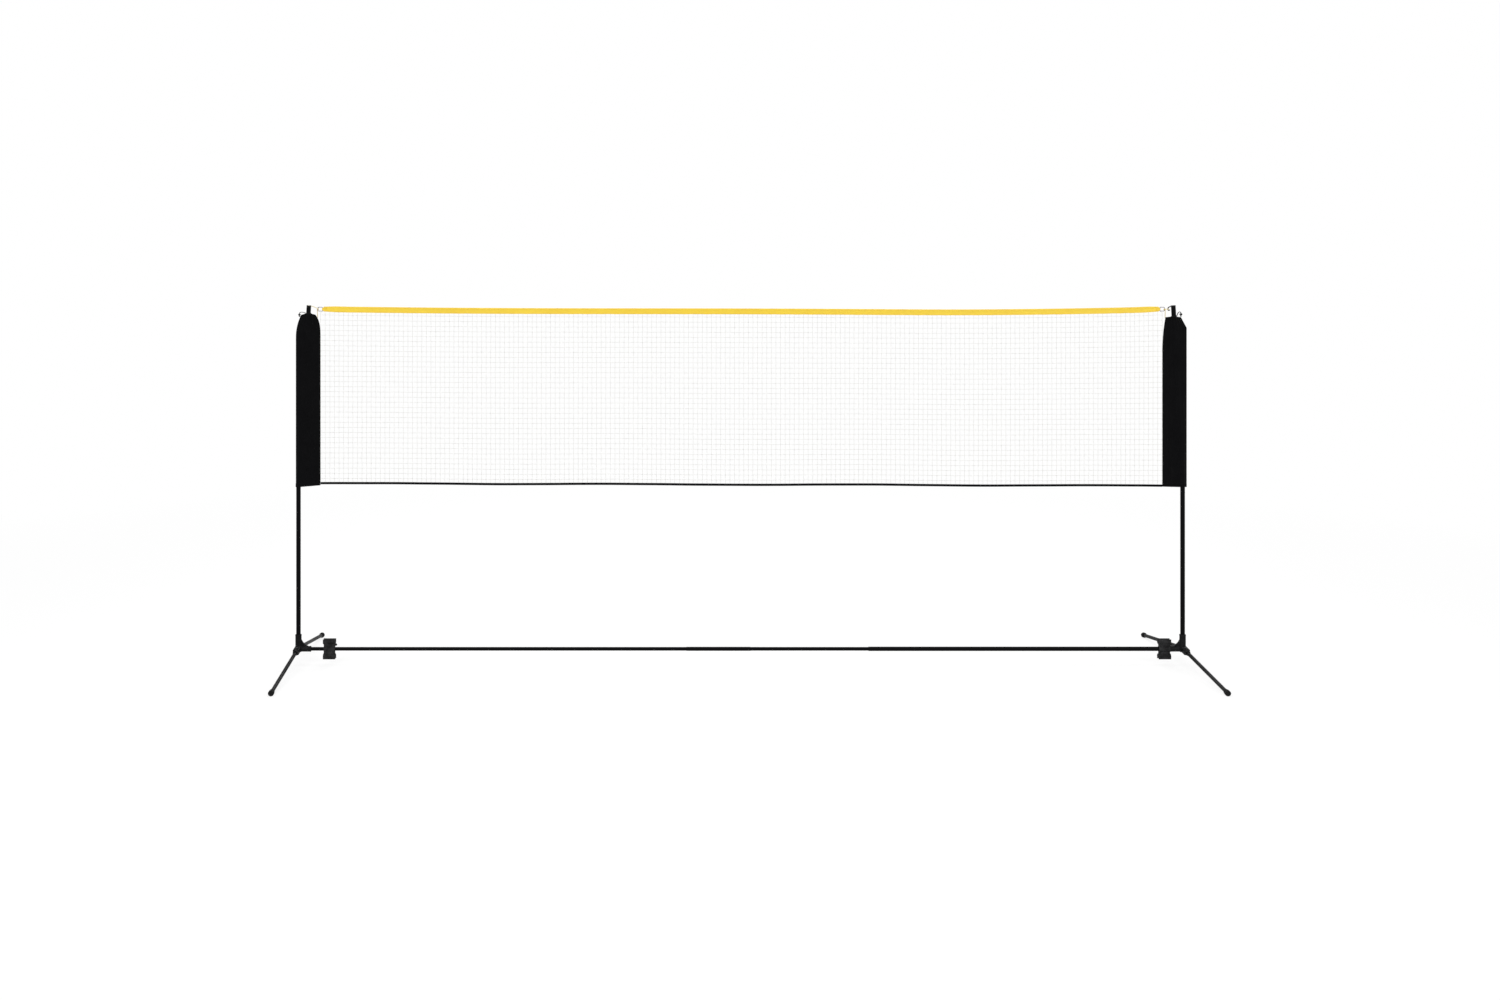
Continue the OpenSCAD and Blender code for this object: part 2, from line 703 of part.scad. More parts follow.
module left_pole_cap() { pole_cap(LEFT); }
module right_pole_cap() { pole_cap(RIGHT); }

// Wire hook: its tail lies in the right cap's crossed slots, and its curl pulls the tie band
module tension_hook() {
    seat_z = cap_head_h - cap_slot_depth + hook_d / 2 + play;
    curl_r = 0.9 * hook_d;
    curl_z = -tape_drop - band_h / 2 - play;
    shank = [[0, 0.35 * pole_d, seat_z], [0, 0, seat_z], [pole_d / 2, 0, seat_z],
        [hook_reach, 0, curl_z + 2 * curl_r]];
    curl = [for (turn = [0 : -30 : -180])
        [hook_reach - curl_r + curl_r * cos(turn), 0, curl_z + curl_r * sin(turn)]];
    at_pole(RIGHT) translate([lean_x(RIGHT, pole_end_z), 0, pole_end_z]) color(tube_black)
        swept_cord(concat(eased(concat(shank, [curl[0]]), 0.75 * hook_d),
            [for (i = [1 : len(curl) - 1]) curl[i]]), hook_d, [0, 0, 1], 12);
}

// ---- Pole sleeves ----

// Levels down a sleeve, and points on its front and its rear side
sleeve_levels = 18;
sleeve_side = 14;
sleeve_points = 2 * sleeve_side;
// Points of a side where the arc round the pole starts and ends
run_in = 4;
arc_last = 11;
// Half thickness of the sewn edges, outside and at the lining
edge_half = 1.6;
lining_edge_half = 0.4;
// Width of the seam along the inner edge
seam_w = 3;
// How much looser a sleeve is round the pole at its neck, and at its hem over the pole's plug joint
neck_ease = 0.5;
hem_ease = 0.6;
// Number of gathers on one side, and the depth at which they have faded to a third
gathers = 4;
gather_fade = 45;

function shoulder(s, t) = s[0] * pow(max(0, 1 - t / s[1]), s[2]);
function inner_x(form, t) = form[2] - shoulder(form[4], t);
function outer_x(form, t) = -form[3] + shoulder(form[5], t);

// Depth of the folds at point k of a side, t below the sleeve's top
function fold(form, k, t, front) =
    sin(180 * k / (sleeve_side - 1)) * (
        gather_depth * exp(-t / gather_fade) * (0.5 + 0.5 * cos(360 * gathers * k / (sleeve_side - 1)))
        + fold_depth * pow(sin(180 * (k / 3.2 + 1.3 * t / form[1] + (front ? 0 : 0.4))), 2));

// Point k of a section's upper half round the pole: a straight run from the sewn inner edge
// to the pole, an arc round the pole and a straight run to the outer edge
function half_section(k, d_in, d_out, r, tip) =
    let(a_in = atan2(tip, d_in) + acos(r / norm([d_in, tip])))
    let(a_out = atan2(tip, d_out) + acos(r / norm([d_out, tip])))
    let(touch_in = r * [cos(a_in), sin(a_in)])
    let(touch_out = r * [-cos(a_out), sin(a_out)])
    k < run_in ? between([d_in, tip], touch_in, k / run_in)
    : k <= arc_last ? let(a = between(a_in, 180 - a_out, (k - run_in) / (arc_last - run_in)))
        let(half_step = (180 - a_out - a_in) / (arc_last - run_in) / 2)
        r / cos(half_step) * [cos(a), sin(a)]
    : between(touch_out, [-d_out, tip], (k - arc_last) / (sleeve_side - 1 - arc_last));

// One level of the sleeve's skin; the lining is the inner skin, without folds
function sleeve_level(side, form, i, lining) =
    let(t = form[1] * pow(i / sleeve_levels, 2) + (lining && i > 0 && i < sleeve_levels ? sleeve_wall : 0))
    let(z = form[0] - t)
    let(axis_x = lean_x(side, z))
    let(r = pole_d / 2 + soft_gap + hem_ease * pow(t / form[1], 4) + (lining ? 0 : sleeve_wall))
    let(d_in = inner_x(form, t) - axis_x - (lining ? seam_w : 0))
    let(d_out = max(r + sleeve_wall / 2, axis_x - outer_x(form, t) - (lining ? sleeve_wall : 0)))
    let(tip = lining ? lining_edge_half : edge_half)
    [for (j = [0 : sleeve_points - 1])
        let(front = j >= sleeve_side)
        let(k = front ? sleeve_points - 1 - j : j)
        let(flip = front ? -1 : 1)
        let(p = half_section(k, d_in, d_out, r, tip))
        let(neck = between(atan2(p.y, p.x), (k + 0.5) * 180 / sleeve_side, 0.5))
        let(neck_edge = r + neck_ease - (lining ? 0 : play))
        i == 0 ? [axis_x + neck_edge * cos(neck), flip * neck_edge * sin(neck), z]
        : [axis_x + p.x, flip * (p.y + (lining ? 0 : fold(form, k, t, front))),
            z + form[6] * max(0, p.x / d_in) * pow(t / form[1], 6)]];

function skin(first, flip) = [for (i = [0 : sleeve_levels - 1], j = [0 : sleeve_points - 1])
    let(next = (j + 1) % sleeve_points)
    let(a = first + i * sleeve_points + j)
    let(b = first + i * sleeve_points + next)
    let(c = b + sleeve_points)
    let(d = a + sleeve_points)
    let(halves = j < sleeve_side ? [[a, b, c], [a, c, d]] : [[a, b, d], [b, c, d]])
    each flip ? [for (f = halves) [f[2], f[1], f[0]]] : halves];

// Band of faces between the outer skin's ring at index a and the lining's ring at index b
function rim(a, b, flip) = [for (j = [0 : sleeve_points - 1])
    let(next = (j + 1) % sleeve_points)
    each flip ? [[a + j, a + next, b + next], [a + j, b + next, b + j]]
        : [[b + next, a + next, a + j], [b + j, b + next, a + j]]];

module pole_sleeve(side) {
    form = sleeve_form(side);
    outer = [for (i = [0 : sleeve_levels]) each sleeve_level(side, form, i, false)];
    lining = [for (i = [0 : sleeve_levels]) each sleeve_level(side, form, i, true)];
    last = sleeve_levels * sleeve_points;
    faces = concat(skin(0, false), skin(len(outer), true),
        rim(0, len(outer), false), rim(last, len(outer) + last, true));
    at_pole(side) color(fabric_black) polyhedron(concat(outer, lining), faces, convexity = 6);
}

module left_pole_sleeve() { pole_sleeve(LEFT); }
module right_pole_sleeve() { pole_sleeve(RIGHT); }

// Drawcord: once round the pole on the sleeve's top, with both strands through a cord lock.
// A strand's points [x, z] count from the outer side of the loop, and it ends straight down.
left_tail = [[-4, 1], [-9, 3], [-18, 4], [-24, 3.4], [-27.5, 1.5], [-28.6, -2], [-28.6, -12]];
right_tail = [[-3, 4], [-6, 12], [-10, 17.5], [-14.5, 19.5], [-18.5, 18], [-20, 14], [-20, 3]];
// Steps round the loop, and half of its opening's angle
loop_steps = 20;
loop_open = 20;
function tail(side) = side < 0 ? left_tail : right_tail;
function neck_z(side) = sleeve_form(side)[0] + cord_d / 2 + play;
neck_r = pole_d / 2 + play + cord_d / 2;

// A strand, rear or front, from its root on the loop to its end
function strand(side, flip) = [for (p = tail(side)) [p.x - neck_r, flip * strand_gap / 2, p.y]];
function backwards(points) = [for (i = [len(points) - 1 : -1 : 0]) points[i]];
function drawcord_route(side) = concat(
    backwards(strand(side, REAR)),
    [for (i = [0 : loop_steps]) let(a = between(180 - loop_open, loop_open - 180, i / loop_steps))
        neck_r * [cos(a), sin(a), 0]],
    strand(side, FRONT));

module at_neck(side) {
    at_pole(side) translate([lean_x(side, neck_z(side)), 0, neck_z(side)]) children();
}

module drawcord(side) {
    at_neck(side) color(fabric_black) swept_cord(drawcord_route(side), cord_d, [0, 1, 0]);
}

// Barrel with a push button, crossed by the drawcord's two strands
module cord_lock(side) {
    points = tail(side);
    middle = (points[len(points) - 1] + points[len(points) - 2]) / 2;
    at_neck(side) translate([middle.x - neck_r, 0, middle.y]) color(mould_black) difference() {
        union() {
            translate([0, lock_len / 2, 0]) rotate([90, 0, 0]) domed_bar(lock_d, lock_len, 1.5);
            translate([0, lock_len / 2, 0]) rotate([-90, 0, 0]) domed_bar(0.6 * lock_d, 0.3 * lock_d, 1);
        }
        for (flip = [-1, 1]) translate([0, flip * strand_gap / 2, 0])
            cylinder(d = cord_d + 2 * play, h = 2 * lock_d, center = true);
    }
}

module left_drawcord() { drawcord(LEFT); }
module right_drawcord() { drawcord(RIGHT); }
module left_cord_lock() { cord_lock(LEFT); }
module right_cord_lock() { cord_lock(RIGHT); }

// ---- Net ----

tape_steps = 48;
tab_len = eye_r + 3;
tape_from = eye_x(LEFT) + tab_len;
tape_to = eye_x(RIGHT) - tab_len;

function steps(from, to) = [for (i = [0 : tape_steps]) between(from, to, i / tape_steps)];
function net_top(x) = tape_z(x) - tape_h / 2;
function net_foot(x) = hem_z(x) + hem_h / 2;
function column_x(i) = between(net_x(LEFT) + strand_w / 2, net_x(RIGHT) - strand_w / 2, i / net_columns);
function row_z(x, j) = between(net_foot(x) + strand_w / 2, net_top(x) - strand_w / 2, j / net_rows);

// Upright sheet, centred on the net's plane, from an outline drawn in [x, z]
module upright(thickness) {
    translate([0, thickness / 2, 0]) rotate([90, 0, 0]) linear_extrude(thickness) children();
}

// Folded tape over the net's head, with a rolled eye for a ring at each end
module top_tape() {
    color(tape_yellow) difference() {
        union() {
            upright(tape_t) {
                polygon([for (x = steps(tape_from, tape_to)) [x, tape_z(x) - tape_h / 2],
                    for (x = steps(tape_to, tape_from)) [x, tape_z(x) + tape_h / 2]]);
                for (side = [LEFT, RIGHT]) tape_tab(side);
            }
            for (side = [LEFT, RIGHT]) translate([eye_x(side), 0, tape_end_z])
                cylinder(r = eye_r, h = eye_h, center = true);
        }
        upright(net_t + play) polygon([
            for (x = steps(tape_from - past, tape_to + past)) [x, net_top(x) - past],
            for (x = steps(tape_to + past, tape_from - past)) [x, net_top(x) + tape_seam + play]]);
        for (side = [LEFT, RIGHT]) translate([eye_x(side), 0, tape_end_z])
            cylinder(d = ring_wire + 2 * play, h = 2 * ring_h, center = true);
    }
}

// Tape end that narrows to the eye
module tape_tab(side) {
    end_x = side < 0 ? tape_from : tape_to;
    polygon([[eye_x(side), tape_end_z - eye_h / 2], [end_x, tape_z(end_x) - tape_h / 2],
        [end_x, tape_z(end_x) + tape_h / 2], [eye_x(side), tape_end_z + eye_h / 2]]);
}

module bottom_tape() {
    color(fabric_black) difference() {
        upright(hem_t) polygon([for (x = steps(net_x(LEFT), net_x(RIGHT))) [x, hem_z(x) - hem_h / 2],
            for (x = steps(net_x(RIGHT), net_x(LEFT))) [x, hem_z(x) + hem_h / 2]]);
        upright(net_t + play) polygon([
            for (x = steps(net_x(LEFT) - past, net_x(RIGHT) + past)) [x, net_foot(x) - hem_seam - play],
            for (x = steps(net_x(RIGHT) + past, net_x(LEFT) - past)) [x, net_foot(x) + past]]);
    }
}

// Net with its strands between the sleeves, its head in the top tape and its foot in the bottom tape
module net_mesh() {
    color(net_ivory) upright(net_t) {
        difference() {
            polygon([for (x = steps(net_x(LEFT), net_x(RIGHT))) [x, net_foot(x)],
                for (x = steps(net_x(RIGHT), net_x(LEFT))) [x, net_top(x)]]);
            for (i = [0 : net_columns - 1], j = [0 : net_rows - 1]) net_gap(i, j);
        }
        polygon([for (x = steps(tape_from, tape_to)) [x, net_top(x) - past],
            for (x = steps(tape_to, tape_from)) [x, net_top(x) + tape_seam]]);
        polygon([for (x = steps(net_x(LEFT), net_x(RIGHT))) [x, net_foot(x) - hem_seam],
            for (x = steps(net_x(RIGHT), net_x(LEFT))) [x, net_foot(x) + past]]);
    }
}

module net_gap(i, j) {
    x_from = column_x(i) + strand_w / 2;
    x_to = column_x(i + 1) - strand_w / 2;
    polygon([[x_from, row_z(x_from, j) + strand_w / 2], [x_to, row_z(x_to, j) + strand_w / 2],
        [x_to, row_z(x_to, j + 1) - strand_w / 2], [x_from, row_z(x_from, j + 1) - strand_w / 2]]);
}

// Part of a round ring in the plane y = 0, from one angle to another, counted from +x towards +z
module wire_arc(centre, r, d, from, to) {
    translate([centre.x, 0, centre.y]) rotate([90, 0, 0]) rotate(from)
        rotate_extrude(angle = to - from) translate([r, 0]) circle(d = d);
}

// Rectangular wire ring with round corners
module ring(side) {
    x_half = ring_w / 2 - ring_corner;
    z_half = ring_h / 2 - ring_corner;
    at_pole(side) translate([ring_offset(side) + ring_w / 2, 0, tape_end_z]) color(steel_grey) {
        for (flip = [-1, 1]) {
            translate([flip * ring_w / 2, 0, 0]) cylinder(d = ring_wire, h = 2 * z_half, center = true);
            translate([0, 0, flip * ring_h / 2]) rotate([0, 90, 0])
                cylinder(d = ring_wire, h = 2 * x_half, center = true);
        }
        for (quarter = [0 : 3]) {
            corner = [x_half * (quarter == 0 || quarter == 3 ? 1 : -1), z_half * (quarter < 2 ? 1 : -1)];
            wire_arc(corner, ring_corner, ring_wire, 90 * quarter, 90 * quarter + 90);
        }
    }
}

module left_ring() { ring(LEFT); }
module right_ring() { ring(RIGHT); }

// Outline stretched round two circles on the x axis, the first at the origin
module belt(x, r1, r2) {
    a = acos((r1 - r2) / x);
    arc_steps = 20;
    polygon([
        for (i = [0 : arc_steps]) let(turn = between(a, 360 - a, i / arc_steps))
            r1 * [cos(turn), sin(turn)],
        for (i = [0 : arc_steps]) let(turn = between(-a, a, i / arc_steps))
            [x, 0] + r2 * [cos(turn), sin(turn)]]);
}

// Flat elastic band from a post at x = post_x to the ring's outer bar
module tie_band(side, post_x, post_r) {
    reach = ring_offset(side) - post_x;
    post_seat = post_r + play;
    bar_seat = ring_wire / 2 + play;
    at_pole(side) translate([post_x, 0, tape_end_z - band_h / 2]) color(tape_yellow)
        linear_extrude(band_h) difference() {
            belt(reach, post_seat + band_t, bar_seat + band_t);
            belt(reach, post_seat, bar_seat);
        }
}

module right_tie_band() { tie_band(RIGHT, lean_x(RIGHT, pole_end_z) + hook_reach, hook_d / 2); }

// A cord's hitch round the ring's outer bar, open towards the pole, and the point where the cord
// leaves it, upwards or downwards
loop_r = ring_wire / 2 + 2 * play + cord_d / 2;
function hitch(side, z, leave) = concat(
    [for (turn = [-140 : 20 : 150]) [ring_offset(side) + loop_r * cos(turn), loop_r * sin(turn), z]],
    [[ring_offset(side) - loop_r, 0, z + leave * cord_d / 2]]);

// Elastic cord from the ring's outer bar into the left cap's slot, with its knot where the slots cross
module left_tie_band() {
    knot_d = cap_slot_w - 2 * play;
    knot_x = lean_x(LEFT, pole_end_z);
    slot_z = pole_end_z + cap_head_h - cap_slot_depth + play;
    ramp = [[knot_x + pole_d / 2 + cord_d, 0, slot_z + cord_d / 2], [knot_x, 0, slot_z + cord_d / 2]];
    at_pole(LEFT) color(tape_yellow) {
        swept_cord(concat(hitch(LEFT, tape_end_z + tie_rise, 1), ramp), cord_d, [0, 0, 1]);
        translate([knot_x, 0, slot_z + knot_d / 2]) sphere(d = knot_d);
    }
}

// Cord from a hitch under the tie band down to the sleeve's inner shoulder
module corner_cord(side) {
    form = sleeve_form(side);
    end_drop = form[0] - tape_end_z + 38;
    end = [inner_x(form, end_drop) + cord_d / 2 + play, 0, form[0] - end_drop];
    loop_z = tape_end_z - band_h / 2 - cord_d / 2 - play;
    at_pole(side) color(tape_yellow) swept_cord(concat(hitch(side, loop_z, -1), [end]), cord_d, [0, 0, 1]);
}

module left_corner_cord() { corner_cord(LEFT); }
module right_corner_cord() { corner_cord(RIGHT); }

// ---- Switch ----

left_elbow();
right_elbow();
left_crossbar_tube();
crossbar_ferrule();
middle_crossbar_tube();
right_crossbar_tube();
left_lower_pole();
right_lower_pole();
hinge_pins();
front_left_leg_knuckle();
front_left_leg_tube();
front_left_foot_cap();
front_right_leg_knuckle();
front_right_leg_tube();
front_right_foot_cap();
rear_left_leg_knuckle();
rear_left_leg_tube();
rear_left_foot_cap();
rear_right_leg_knuckle();
rear_right_leg_tube();
rear_right_foot_cap();
left_storage_clip();
right_storage_clip();
left_upper_pole();
right_upper_pole();
left_pole_cap();
right_pole_cap();
tension_hook();
left_pole_sleeve();
right_pole_sleeve();
left_drawcord();
right_drawcord();
left_cord_lock();
right_cord_lock();
top_tape();
bottom_tape();
net_mesh();
left_ring();
right_ring();
left_tie_band();
right_tie_band();
left_corner_cord();
right_corner_cord();
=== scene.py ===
"""Free-standing portable sports net on poles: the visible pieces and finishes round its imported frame."""
import math

import bmesh
import bpy
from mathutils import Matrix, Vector, noise


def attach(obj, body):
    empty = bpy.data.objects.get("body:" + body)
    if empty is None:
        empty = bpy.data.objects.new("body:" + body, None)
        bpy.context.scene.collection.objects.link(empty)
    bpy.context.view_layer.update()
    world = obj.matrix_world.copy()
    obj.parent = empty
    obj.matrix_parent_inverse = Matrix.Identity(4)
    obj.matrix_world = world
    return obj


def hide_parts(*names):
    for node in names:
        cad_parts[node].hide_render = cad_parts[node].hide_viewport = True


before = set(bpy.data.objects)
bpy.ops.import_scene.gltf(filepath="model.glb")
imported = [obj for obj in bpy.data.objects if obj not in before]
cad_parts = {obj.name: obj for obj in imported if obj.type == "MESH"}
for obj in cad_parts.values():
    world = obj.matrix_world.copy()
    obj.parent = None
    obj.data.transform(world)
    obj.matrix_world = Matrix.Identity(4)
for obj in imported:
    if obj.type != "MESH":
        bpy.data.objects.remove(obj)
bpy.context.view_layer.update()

# ---- Camera ----
# It stands 6.7 m in front of the net, half a metre left of its middle and 1.7 m up. It looks square at the
# net, and a shift of the lens in place of a turn keeps the poles upright.

camera_data = bpy.data.cameras.new("camera")
camera_data.sensor_width = 36
camera_data.lens = 36.12
camera_data.shift_x = 0.0783
camera_data.shift_y = -0.146
camera = bpy.data.objects.new("camera", camera_data)
bpy.context.scene.collection.objects.link(camera)
camera.location = (-0.48, -6.69, 1.705)
camera.rotation_euler = (math.pi / 2, 0, 0)
bpy.context.scene.camera = camera

# ---- Drawcords ----
# Each sleeve's neck is gathered by a round braided polyester cord, 2.4 mm thick. It goes once round the
# pole on top of the sleeve, and both ends pass through a cord lock into one knot.

pole_x = 1.965
pole_r = 0.010
lean_start = 0.800
pole_end = 1.589
pull_in = {"left": 0.046, "right": 0.041}
inward = {"left": 1, "right": -1}
clearance = 0.0002
route_step = 0.0004
braid_strands = 8
braid_pitch = 0.0036


def lean_x(side, z):
    """How far a pole's axis has come inwards at a height."""
    return pull_in[side] / (pole_end - lean_start) * max(0, z - lean_start)


def at_pole(side, x, y, z):
    """A point by its distance inwards from a pole's foot."""
    return Vector((inward[side] * (x - pole_x), y, z))


def smooth_path(points, step):
    """A Catmull-Rom curve through the points, with a new point at every step."""
    ends = [2 * points[0] - points[1], *points, 2 * points[-1] - points[-2]]
    fine = []
    for a, b, c, d in zip(ends, ends[1:], ends[2:], ends[3:]):
        for k in range(24):
            t = k / 24
            fine.append(((2 * b) + (c - a) * t + (2 * a - 5 * b + 4 * c - d) * t * t
                         + (3 * b - a - 3 * c + d) * t ** 3) / 2)
    fine.append(points[-1].copy())
    spaced, left_over = [fine[0]], 0.0
    for a, b in zip(fine, fine[1:]):
        run = (b - a).length
        while left_over + run >= step and run > 0:
            share = (step - left_over) / run
            a = a.lerp(b, share)
            run *= 1 - share
            left_over = 0.0
            spaced.append(a.copy())
        left_over += run
    if (spaced[-1] - fine[-1]).length > step / 3:
        spaced.append(fine[-1])
    return spaced


def deselect():
    """Leaves object mode with nothing selected."""
    if bpy.context.object and bpy.context.object.mode != "OBJECT":
        bpy.ops.object.mode_set(mode="OBJECT")
    bpy.ops.object.select_all(action="DESELECT")


def choose(piece):
    """Selects one piece alone and makes it the active one."""
    deselect()
    piece.select_set(True)
    bpy.context.view_layer.objects.active = piece


def new_grid(name, across, along):
    """A flat grid of faces with its own UV map, to be shaped point by point."""
    deselect()
    bpy.ops.mesh.primitive_grid_add(x_subdivisions=across, y_subdivisions=along, size=1)
    made = bpy.context.object
    made.name = made.data.name = name
    return made


def shape_points(piece, place):
    """Moves each point of a grid from its two shares, 0 to 1, to its place."""
    for point in piece.data.vertices:
        point.co = place(point.co.x + 0.5, point.co.y + 0.5)


def edit_all(piece):
    """Edit mode with the whole piece selected."""
    choose(piece)
    bpy.ops.object.mode_set(mode="EDIT")
    bpy.ops.mesh.select_all(action="SELECT")


def face_outwards(piece):
    """Turns all faces of a piece outwards."""
    edit_all(piece)
    bpy.ops.mesh.normals_make_consistent(inside=False)
    deselect()


def merge_seam(piece):
    """Sews a rolled grid together along its seam and turns its faces outwards."""
    edit_all(piece)
    bpy.ops.mesh.remove_doubles(threshold=1e-6)
    bpy.ops.mesh.normals_make_consistent(inside=False)
    deselect()


def close_ends(piece):
    """Fills the open ends of a rolled grid and turns its faces outwards."""
    edit_all(piece)
    bpy.ops.mesh.select_mode(type="EDGE")
    bpy.ops.mesh.select_all(action="DESELECT")
    bpy.ops.mesh.select_non_manifold()
    bpy.ops.mesh.fill_holes(sides=0)
    bpy.ops.mesh.select_mode(type="VERT")
    bpy.ops.mesh.select_all(action="SELECT")
    bpy.ops.mesh.normals_make_consistent(inside=False)
    deselect()


def add_modifier(piece, kind, **settings):
    """Adds a modifier and applies it."""
    choose(piece)
    made = piece.modifiers.new(kind.lower(), kind)
    for key, value in settings.items():
        setattr(made, key, value)
    bpy.ops.object.modifier_apply(modifier=made.name)


def smooth(piece, degrees):
    """Smooth shading that keeps edges sharper than the angle."""
    choose(piece)
    bpy.ops.object.shade_smooth_by_angle(angle=math.radians(degrees))
    deselect()


def path_frames(path, up, closed=False):
    """At each point of a path: its direction, and two directions square to it that don't twist."""
    last = len(path) - 1
    frames = []
    side = None
    for i in range(len(path)):
        if closed:
            ahead = (path[(i + 1) % len(path)] - path[i - 1]).normalized()
        else:
            ahead = (path[min(i + 1, last)] - path[max(i - 1, 0)]).normalized()
        side = up if side is None else side
        side = (side - side.dot(ahead) * ahead).normalized()
        frames.append((ahead, side, ahead.cross(side)))
    return frames


def braided_cord(name, path, diameter, up):
    """A cord of plaited strands: a rolled grid along the path, raised where a strand crosses on top."""
    cord = new_grid(name, 4 * braid_strands, len(path) - 1)
    frames = path_frames(path, up)
    walked = [0.0]
    for a, b in zip(path, path[1:]):
        walked.append(walked[-1] + (b - a).length)

    def on_cord(turn, share):
        """A point of the cord: once round it, and along its path."""
        i = round(share * (len(path) - 1))
        one_way = math.sin(2 * math.pi * (braid_strands / 2 * turn + walked[i] / braid_pitch))
        other_way = math.sin(2 * math.pi * (braid_strands / 2 * turn - walked[i] / braid_pitch))
        raised = 0.9 + 0.1 * max(abs(one_way), abs(other_way))
        ends = min(1, 0.55 + 0.45 * min(i, len(path) - 1 - i) / 2)
        angle = 2 * math.pi * turn
        _, across, over = frames[i]
        return path[i] + diameter / 2 * raised * ends * (math.cos(angle) * across + math.sin(angle) * over)

    shape_points(cord, on_cord)
    merge_seam(cord)
    close_ends(cord)
    smooth(cord, 60)
    return cord


def material(name, colour, roughness, metallic=0.0, specular=0.5):
    """A Principled material, returned with its node tree, its shader and the place on the object."""
    made = bpy.data.materials.new(name)
    made.use_nodes = True
    shader = made.node_tree.nodes["Principled BSDF"]
    shader.inputs["Base Color"].default_value = (*colour, 1)
    shader.inputs["Roughness"].default_value = roughness
    shader.inputs["Metallic"].default_value = metallic
    shader.inputs["Specular IOR Level"].default_value = specular
    return made, made.node_tree, shader, node(made.node_tree, "TexCoord").outputs["Object"]


def node(tree, kind, inputs=(), **settings):
    """Adds a shader node, links or sets its inputs, and returns it."""
    made = tree.nodes.new("ShaderNode" + kind)
    for key, value in settings.items():
        setattr(made, key, value)
    for key, value in dict(inputs).items():
        if isinstance(value, bpy.types.NodeSocket):
            tree.links.new(value, made.inputs[key])
        else:
            made.inputs[key].default_value = value
    return made


def noise_on(tree, coordinates, scale, detail=2, roughness=0.5):
    """Noise from 0 to 1 at so many cells a metre."""
    return node(tree, "TexNoise", {"Vector": coordinates, "Scale": scale, "Detail": detail,
                                   "Roughness": roughness}).outputs[0]


def ramp(tree, value, *stops):
    """A colour ramp through (place, colour) stops."""
    made = node(tree, "ValToRGB", {"Fac": value})
    elements = made.color_ramp.elements
    while len(elements) < len(stops):
        elements.new(0.5)
    for element, (place, colour) in zip(elements, stops):
        element.position = place
        element.color = (*colour, 1)
    return made.outputs[0]


def paint(tree, shader, value, *stops):
    """Colours the shader by a ramp."""
    tree.links.new(ramp(tree, value, *stops), shader.inputs["Base Color"])


def roughen(tree, shader, value, low, high):
    """Spreads the shader's roughness over the middle of a noise."""
    spread = node(tree, "MapRange", {"Value": value, "From Min": 0.3, "From Max": 0.7, "To Min": low,
                                     "To Max": high})
    tree.links.new(spread.outputs[0], shader.inputs["Roughness"])


def relief(tree, shader, *layers):
    """Bumps of (height, depth in metres) one over the other, joined to the shader."""
    normal = None
    for height, depth in layers:
        bump = node(tree, "Bump", {"Height": height, "Distance": depth, "Strength": 1})
        if normal:
            tree.links.new(normal, bump.inputs["Normal"])
        normal = bump.outputs[0]
    tree.links.new(normal, shader.inputs["Normal"])


def finish(piece, made):
    """Gives a piece its one material."""
    piece.data.materials.clear()
    piece.data.materials.append(made)


black_cord, tree, shader, place = material("black braided cord", (0.012, 0.012, 0.013), 0.62, specular=0.1)
fibres = noise_on(tree, place, 5200, 3)
paint(tree, shader, fibres, (0.3, (0.005, 0.005, 0.005)), (0.75, (0.018, 0.018, 0.018)))
relief(tree, shader, (fibres, 0.00008))

cord_d = 0.0024
strand_gap = 0.0034
neck_r = pole_r + clearance + cord_d / 2
sleeve_top = {"left": 1.561, "right": 1.547}
neck_z = {side: top + cord_d / 2 + clearance for side, top in sleeve_top.items()}
# each tail's points are in millimetres from the neck: inwards and up
tails = {"left": [(-4, 1), (-9, 3), (-18, 4), (-24, 3.4), (-27.5, 1.5), (-28.6, -2), (-28.6, -12)],
         "right": [(-3, 4), (-6, 12), (-10, 17.5), (-14.5, 19.5), (-18.5, 18), (-20, 14), (-20, 3)]}
drawcords = {}
for side in inward:
    centre = lean_x(side, neck_z[side])
    strands = {flip: [at_pole(side, centre + x / 1000 - neck_r, flip * strand_gap / 2,
                              neck_z[side] + z / 1000) for x, z in tails[side]] for flip in (-1, 1)}
    loop = [at_pole(side, centre + neck_r * math.cos(math.radians(turn)),
                    neck_r * math.sin(math.radians(turn)), neck_z[side]) for turn in range(160, -161, -16)]
    route = smooth_path(strands[1][::-1] + loop + strands[-1], route_step)
    drawcord = braided_cord(f"{side}_drawcord_braid", route, cord_d, Vector((0, 1, 0)))
    finish(drawcord, black_cord)
    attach(drawcord, "upper_frame")
    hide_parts(f"{side}_drawcord")
    drawcords[side] = drawcord, route, strands

# ---- Drawcord knots ----
# Under its lock the drawcord's two ends are tied in one overhand knot, drawn tight, so that the lock can't
# slip off the cord.


def overhand(middle, wide, deep, tall, loops):
    """The closed path of a knot: a trefoil, flattened and drawn up round its middle."""
    path = []
    for k in range(61):
        t = 2 * math.pi * k / 60
        path.append(middle + Vector((wide * (math.sin(t) + loops * math.sin(2 * t)),
                                     deep * (math.cos(t) - loops * math.cos(2 * t)),
                                     -tall * math.sin(3 * t))))
    return path


knot_drop = 0.0022
for side in inward:
    _, _, strands = drawcords[side]
    under = (strands[1][-1] + strands[-1][-1]) / 2 - Vector((0, 0, knot_drop))
    turns = overhand(under, 0.00115, 0.0013, 0.0012, 1.6)
    knot = braided_cord(f"{side}_drawcord_knot", turns, cord_d, Vector((0, 0, 1)))
    finish(knot, black_cord)
    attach(knot, "upper_frame")

